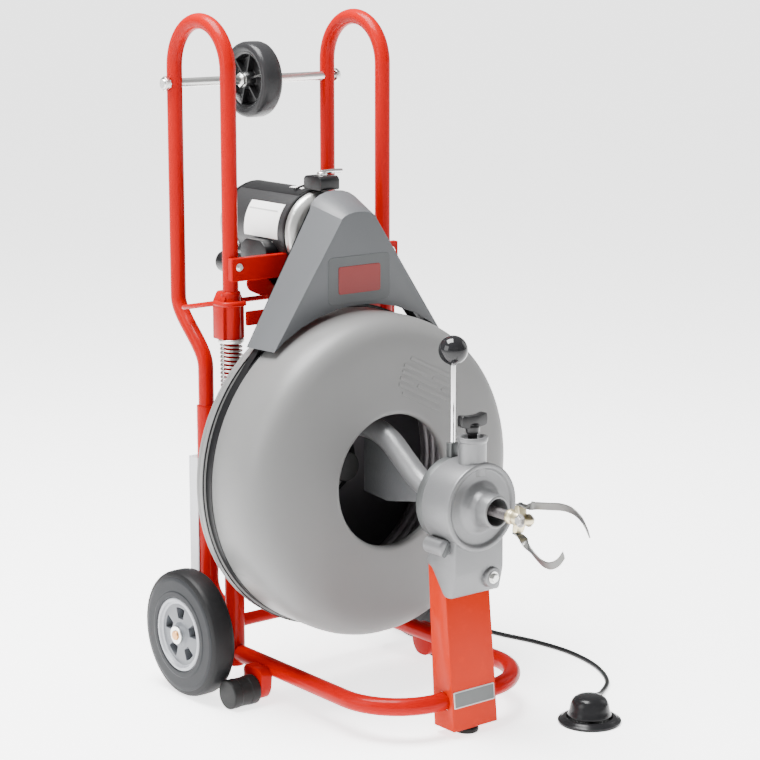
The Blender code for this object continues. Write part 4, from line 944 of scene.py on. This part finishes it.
def cable_end():
    at = (0, 0, DRUM_Z)
    route = [(0, -0.112, 0.364), (0, -0.088, 0.366), (-0.002, -0.06, 0.38), (-0.004, -0.03, 0.403),
        (-0.006, 0.005, 0.43), (-0.009, 0.036, 0.443), (-0.013, 0.075, 0.447)]
    TUBE.made("guide_pipe", path_mesh(smooth_path(route, 0.006)), CASTING, "drum", "guide_tube",
        radius=0.0185, sides=40, crease=50)
    mouth = eased([(0.01, -0.1), (0.0188, -0.1), (0.0205, -0.108), (0.0255, -0.118), (0.0298, -0.128),
        (0.03, -0.1448), (0.01, -0.1448)], 0.0035)
    spun("guide_mouth", mouth, "Y", at, 56, CASTING, "drum", slot="guide_tube")
    web = eased([(-0.092, 0.352), (-0.084, 0.366), (-0.01, 0.412), (0.06, 0.436), (0.06, 0.34), (0, 0.335)],
        0.003)
    plate = side_prism(web, -0.017, -0.013)
    prism(eased(oblong(-0.02, -0.003, 0.0, 0.001), 0.0012), 0.0, 0.088, (1, 0, 0), (0, -0.528, 0.849),
        (-0.006, -0.083, 0.366), plate)
    cut("guide_web", plate, 0.0006, GUSSET, "drum", slot="guide_tube")

    core = oblong(0, -0.0785, 0.0062, -0.2698)
    spun("cable_core", core, "Y", at, 24, CABLE, "drum", "cable_lead")
    WOUND.made("cable_wire", bpy.data.meshes.new("none"), CABLE, "drum", crease=60, turns=34.0,
        radius=0.0065, height=0.122, wire=0.00165, base=(0.0, -0.148, DRUM_Z), turn=(math.pi / 2, 0.0, 0.0))
    tip = eased([(0, -0.2685), (0.0098, -0.2685), (0.0115, -0.2715), (0.0115, -0.277), (0.01, -0.2785),
        (0.01, -0.283), (0.0115, -0.2845), (0.0115, -0.296), (0, -0.296)], 0.0009, closed=False)
    spun("coupling", tip, "Y", at, 40, BRASS, "drum", "cable_coupling")
    tang = eased(oblong(-0.0036, -0.288, 0.0036, -0.3145), 0.0012)
    across = BLADE_OUT.cross(Vector((0, 1, 0)))
    plate = prism(tang, -0.0085, 0.0085, BLADE_OUT, (0, 1, 0), at)
    cut("coupling_tang", plate, 0.001, BRASS, "drum", slot="cable_coupling")
    yoke = eased([(-0.0204, -0.2868), (0.0204, -0.2868), (0.0204, -0.2957), (0.009, -0.299),
        (-0.009, -0.299), (-0.0204, -0.2957)], 0.002)
    plate = prism(yoke, -0.0072, 0.0072, BLADE_OUT, (0, 1, 0), at)
    cut("coupling_yoke", plate, 0.0012, BRASS, "drum", slot="cable_coupling")
    spots = [(Vector((0, -0.303, DRUM_Z)) + way * 0.0086, way) for way in (across, -across)]
    heads("blade_bolts", spots, SPRING_WIRE, "drum", radius=0.0076, height=0.0052, washer=0.01)
    spots = [(Vector((0, -0.291, DRUM_Z)) + sign * BLADE_OUT * 0.0226, sign * BLADE_OUT)
        for sign in (-1, 1)]
    heads("blade_rivets", spots, OILED, "drum", radius=0.0034, height=0.002, washer=0.0046, sides=16)
    upper = [(0.0209, -0.287), (0.0212, -0.3), (0.025, -0.32), (0.03, -0.35), (0.0345, -0.378),
        (0.0335, -0.402), (0.024, -0.423), (0.007, -0.439)]
    lower = [(0.0209, -0.287), (0.024, -0.3), (0.035, -0.316), (0.046, -0.335), (0.053, -0.352),
        (0.053, -0.368), (0.0445, -0.383), (0.031, -0.393)]
    for sign, word, route in ((1, "upper", upper), (-1, "lower", lower)):
        fine = [(p.x, p.y) for p in smooth_path([(u, y, 0) for u, y in route], 0.004)]
        rings, bm = [], bmesh.new()
        for i, (u, y) in enumerate(fine):
            (u0, y0), (u1, y1) = fine[max(i - 1, 0)], fine[min(i + 1, len(fine) - 1)]
            along = (sign * BLADE_OUT * (u1 - u0) + Vector((0, y1 - y0, 0))).normalized()
            twist = ease((-0.296 - y) / 0.03)
            wide = across.lerp(Vector((0.35, 0, -0.94)), twist).normalized()
            thick = along.cross(wide).normalized() * 0.001
            wide *= 0.0075 - 0.0012 * twist
            middle = Vector((0, y, DRUM_Z)) + sign * BLADE_OUT * (u + 0.001)
            corners = (middle + wide + thick, middle + wide - thick, middle - wide - thick,
                middle - wide + thick)
            rings.append([bm.verts.new(corner) for corner in corners])
        for near, far in zip(rings, rings[1:]):
            for k in range(4):
                bm.faces.new((near[k], near[(k + 1) % 4], far[(k + 1) % 4], far[k]))
        bm.faces.new(rings[0][::-1])
        bm.faces.new(rings[-1])
        cut(f"blade_{word}", bm, 0.0003, BLADE, "drum", f"cutter_blade_{word}", segments=1)


def belt():
    """A loop with a V section: it lies in the drum's groove and the pulley's."""
    lift = math.degrees(math.asin((BELT_R - PULLEY_R) / (MOTOR_Z - DRUM_Z)))
    bm = bmesh.new()
    rings = []
    full = BELT_HALF_W + 0.0007
    section = [(0.0, full), (0.0, -full), (BELT_THICK * 0.25, -full),
        (BELT_THICK * 0.85, -BELT_HALF_W * 0.68), (BELT_THICK, -BELT_HALF_W * 0.5),
        (BELT_THICK, BELT_HALF_W * 0.5), (BELT_THICK * 0.85, BELT_HALF_W * 0.68), (BELT_THICK * 0.25, full)]
    for depth, offset in section:
        outline = (arc((0, MOTOR_Z), PULLEY_R - depth, lift, 180 - lift, 24)
            + arc((0, DRUM_Z), BELT_R - depth, 180 - lift, 360 + lift, 120))
        rings.append([bm.verts.new((x, BELT_Y + offset, z)) for x, z in outline])
    for first, second in zip(rings, rings[1:] + rings[:1]):
        for i in range(len(first)):
            j = (i + 1) % len(first)
            bm.faces.new((first[i], first[j], second[j], second[i]))
    finish(solid("belt", bm), "belt_fine", BELT, "frame", "drive_belt", crease=40)
    refined("drive_pulley", BELL, 35)


# ---------------------------------------------------------------- carriage: handles, tray, motor, guard
def handles():
    rear_low, rear_high = 0.522, 0.63
    front_top = HANDLE_TOP_Z - HANDLE_BEND_R
    shift = HANDLE_REAR_Y - REAR_Y
    for side, word in SIDES:
        x = side * TRACK
        over = arc((MAST_Y + HANDLE_BEND_R, front_top), HANDLE_BEND_R, 180, 0, 28)
        s_bend = [(HANDLE_REAR_Y - shift * ease(t), rear_high + (rear_low - rear_high) * t)
            for t in [i / 16 for i in range(17)]]
        route = [(MAST_Y, 0.466), (MAST_Y, 0.56), *over, (HANDLE_REAR_Y, 0.7), *s_bend, (REAR_Y, 0.44)]
        TUBE.made(f"handle_tube_{word}", path_mesh([(x, y, z) for y, z in route]), RED, "carriage",
            f"handle_{word}", radius=HANDLE_R, sides=32)


def springs():
    for side, word in SIDES:
        coil = WOUND.made(f"spring_wire_{word}", bpy.data.meshes.new("none"), SPRING_WIRE, "frame",
            f"spring_{word}", crease=60, turns=SPRING_TURNS, radius=0.0166, height=0.0955, wire=0.0019,
            base=(side * TRACK, MAST_Y, SPRING_BASE_Z))
        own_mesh(coil)
        ring = eased([(0.013, 0.58), (0.02, 0.58), (0.021, 0.5785), (0.021, 0.574), (0.013, 0.574)], 0.001)
        spun(f"spring_seat_{word}", ring, "Z", (side * TRACK, MAST_Y, 0), 40, ZINC, "carriage",
            slot=f"handle_{word}")


def sleeves():
    for side, word in SIDES:
        x = side * TRACK
        block = [(x - 0.0205, 0.579), (x + 0.0205, 0.579), (x + 0.0205, 0.64), (x + 0.012, 0.656),
            (x - 0.012, 0.656), (x - 0.0205, 0.64)]
        bm = front_prism(eased(block, 0.003), MAST_Y - 0.008, MAST_Y + 0.0215)
        cut(f"sleeve_block_{word}", bm, 0.002, RED, "carriage", "sleeve_bridge")
        boss = eased([(0.0129, 0.6565), (0.015, 0.6565), (0.0162, 0.654), (0.0162, 0.58), (0.015, 0.5785),
            (0.0129, 0.5785)], 0.001)
        spun(f"sleeve_boss_{word}", boss, "Z", (x, MAST_Y, 0), 40, RED, "carriage", slot="sleeve_bridge")
    cut("bridge_plate", brick((-0.136, 0.2085, 0.6005), (0.136, 0.2155, 0.6235)), 0.0015, RED, "carriage",
        slot="sleeve_bridge")


def tray_and_motor():
    refined("motor_tray", RED, 30, 0.0012, 1)
    at = (0, 0, MOTOR_Z)
    spots = [((side * TRACK, 0.2025, 0.6975), (0, -1, 0)) for side in (-1, 1)]
    heads("tray_bolts", spots, ZINC, "carriage", radius=0.005, height=0.004, washer=0.0064)
    apron = eased([(-0.13, 0.6725), (0.13, 0.6725), (0.126, 0.656), (0.095, 0.642), (-0.095, 0.642),
        (-0.126, 0.656)], 0.008)
    cut("tray_apron", front_prism(apron, TRAY_FRONT_Y, TRAY_BACK_Y), 0.001, RED, "carriage",
        slot="motor_tray", segments=1)
    under = arc((0, MOTOR_Z), MOTOR_R + 0.024, 208, 332, 30) + arc((0, MOTOR_Z), MOTOR_R + 0.046, 330, 210,
        30)
    cut("cradle_web", front_prism(under, TRAY_FRONT_Y, TRAY_BACK_Y), 0.001, RED, "carriage",
        slot="motor_tray", segments=1)
    shell = eased([(0, 0.204), (0.0672, 0.204), (0.068, 0.206), (0.068, 0.37), (0.0672, 0.372), (0, 0.372)],
        0.001, closed=False)
    spun("motor_can", shell, "Y", at, 96, SHELL, "carriage", "motor_shell")
    bell = eased([(0, 0.174), (0.015, 0.174), (0.018, 0.179), (0.038, 0.181), (0.056, 0.185),
        (0.065, 0.192), (0.0668, 0.198), (0.0668, 0.2035), (0, 0.2035)], 0.003, closed=False)
    spun("bell_front", bell, "Y", at, 80, BELL, "carriage", "motor_front_bell")
    gap = oblong(0.062, 0.202, 0.0689, 0.206)
    spun("motor_gap_front", gap, "Y", at, 80, BLACK, "carriage", slot="motor_shell")
    rear_bell = eased([(0, 0.3722), (0.0668, 0.3722), (0.0668, 0.378), (0.064, 0.388), (0.056, 0.395),
        (0.038, 0.398), (0.018, 0.3995), (0, 0.3995)], 0.003, closed=False)
    spun("bell_rear", rear_bell, "Y", at, 80, BELL, "carriage", "motor_rear_bell")
    gap = oblong(0.062, 0.3705, 0.0689, 0.3742)
    spun("motor_gap_rear", gap, "Y", at, 80, BLACK, "carriage", slot="motor_shell")
    # Painted shade: black slabs on the rear bell stand in for the shade inside its vent openings; no
    # openings are cut.
    vent_shades = bmesh.new()
    for k in range(MOTOR_VENTS):
        angle = math.tau * (k + 0.5) / MOTOR_VENTS
        out, along = Vector((math.cos(angle), 0, math.sin(angle))), Vector((-math.sin(angle), 0,
            math.cos(angle)))
        slot = eased(oblong(-0.0085, -0.0028, 0.0085, 0.0028), 0.0026)
        prism(slot, -0.003, 0.0024, along, out, Vector((0, 0.3968, MOTOR_Z)) + out * 0.048, vent_shades)
    finish(solid("vent_shades", vent_shades), "motor_vent_shade", BLACK, "carriage", slot="motor_shell")
    curved_patch("motor_band", MOTOR_R, 0.0007, 58, 118, 0.209, 0.369, BLACK)
    curved_patch("motor_label", MOTOR_R, 0.0005, 138, 188, 0.22, 0.312, LABEL)
    curved_patch("motor_label_rule", MOTOR_R, 0.0008, 149, 151, 0.23, 0.308, GREY_INK)
    curved_patch("motor_note", MOTOR_R, 0.0011, 78, 100, 0.228, 0.262, LABEL)
    for i, (low, high) in enumerate(((0.235, 0.24), (0.335, 0.34)), 1):
        curved_patch(f"motor_strap_{i}", MOTOR_R, 0.001, 192, 348, low, high, ZINC)

    can = eased([(0, 0.302), (0.0168, 0.302), (0.0178, 0.304), (0.0178, 0.374), (0.0165, 0.376),
        (0, 0.376)], 0.0015, closed=False)
    spun("start_can", can, "Y", START_CAN, 48, BLACK, "carriage", slot="terminal_cover")
    cap = eased([(0, 0.3764), (0.015, 0.3764), (0.0155, 0.375), (0, 0.374)], 0.0005, closed=False)
    spun("start_can_end", cap, "Y", START_CAN, 40, ZINC, "carriage", slot="terminal_cover")
    cover = eased([(0.226, 0.696), (0.298, 0.696), (0.298, 0.718), (0.284, 0.73), (0.24, 0.73),
        (0.226, 0.718)], 0.006)
    cut("terminal_box", side_prism(cover, -0.086, -0.054), 0.003, BLACK, "carriage", "terminal_cover",
        segments=3)
    switch = eased([(0, 0.299), (0.016, 0.299), (0.0172, 0.301), (0.0172, 0.356), (0.015, 0.364),
        (0.0085, 0.366), (0.006, 0.372), (0.0045, 0.374), (0.0045, 0.398), (0, 0.398)], 0.0012,
        closed=False)
    spun("air_valve", switch, "Y", (AIR_SWITCH_X, 0, AIR_SWITCH_Z), 48, BLACK, "carriage", "air_switch")


def curved_patch(name, radius, thick, start, end, low, high, material):
    """A thin sheet wrapped round the motor between two angles."""
    inner = arc((0, MOTOR_Z), radius - 0.001, start, end, 20)
    outer = arc((0, MOTOR_Z), radius + thick, end, start, 20)
    finish(solid(name, front_prism(inner + outer, low, high)), name, material, "carriage",
        slot="motor_shell")


def guard_pieces():
    refined("belt_guard", GUARD, 30, 0.0014, 2)
    face = eased(oblong(-0.062, 0.64, 0.062, 0.716), 0.01)
    cut("guard_panel", front_prism(face, 0.0922, 0.0936), 0.0004, PANEL, "carriage", slot="belt_guard",
        segments=1)
    plate = eased(oblong(-0.042, 0.656, 0.042, 0.7), 0.004)
    cut("guard_plate", front_prism(plate, 0.0913, 0.0924), 0.0004, PLATE_RED, "carriage", slot="belt_guard",
        segments=1)


def switch_and_bail():
    body = eased([(0.168, 0.812), (0.214, 0.812), (0.214, 0.83), (0.208, 0.8345), (0.174, 0.8345),
        (0.168, 0.83)], 0.003)
    cut("switch_body", side_prism(body, -0.019, 0.019), 0.0014, BLACK, "carriage", "switch_box")
    pivot = eased([(0, 0.84), (0.007, 0.84), (0.0085, 0.8375), (0.0085, 0.8335), (0, 0.8335)], 0.0008,
        closed=False)
    spun("switch_pivot", pivot, "Z", (0, 0.19, 0), 32, ZINC, "carriage", slot="switch_box")
    route = [(0, 0.19, 0.8392), (0.012, 0.188, 0.8402), (0.024, 0.186, 0.8404), (0.036, 0.184, 0.8402)]
    TUBE.made("switch_stem", path_mesh(smooth_path(route, 0.003)), CHROME, "switch_arm", "switch_lever",
        radius=0.0035, sides=20)
    wire = [(0.019, 0.2, 0.823), (0.033, 0.206, 0.825), (0.04, 0.224, 0.818), (0.03, 0.24, 0.808),
        (0.006, 0.242, 0.812), (-0.02, 0.236, 0.808)]
    TUBE.made("switch_cable", path_mesh(smooth_path(wire, 0.004)), HOSE, "carriage", radius=0.003, sides=16)
    refined("release_bail", RED, 40)
    for side, word in SIDES:
        hook = [(side * 0.148, 0.1985, 0.64), (side * 0.168, 0.1985, 0.64), (side * 0.179, 0.202, 0.64),
            (side * 0.184, 0.212, 0.64), (side * 0.184, 0.23, 0.6397)]
        TUBE.made(f"bail_hook_{word}", path_mesh(smooth_path(hook, 0.003)), RED, "bail", radius=0.0042,
            sides=20)
    refined("load_axle", ZINC, 35, 0.0005, 1)


# ---------------------------------------------------------------- everything in its place
floor_tube()
masts()
axle_pieces()
leg_and_feed()
lever_and_screw()
road_wheels()
load_wheel()
drum_pieces()
cable_end()
belt()
handles()
springs()
sleeves()
tray_and_motor()
guard_pieces()
switch_and_bail()


def ground():
    pale = Finish("pale_floor", emission_color=(1, 1, 1, 1), emission_strength=FLOOR_GLOW)
    broad, grain = pale.noise(0.8, 2), pale.noise(300, 2)
    tone = pale.blend((0.9, 0.9, 0.9, 1), (0.93, 0.93, 0.93, 1), broad)
    material = pale.drive(tone, 0.85, grain, 0.0003, 0.1)
    floor = solid("floor", brick((-FLOOR_HALF, -FLOOR_HALF, -0.02), (FLOOR_HALF, FLOOR_HALF, 0.0)))
    floor.data.materials.append(material)


ground()
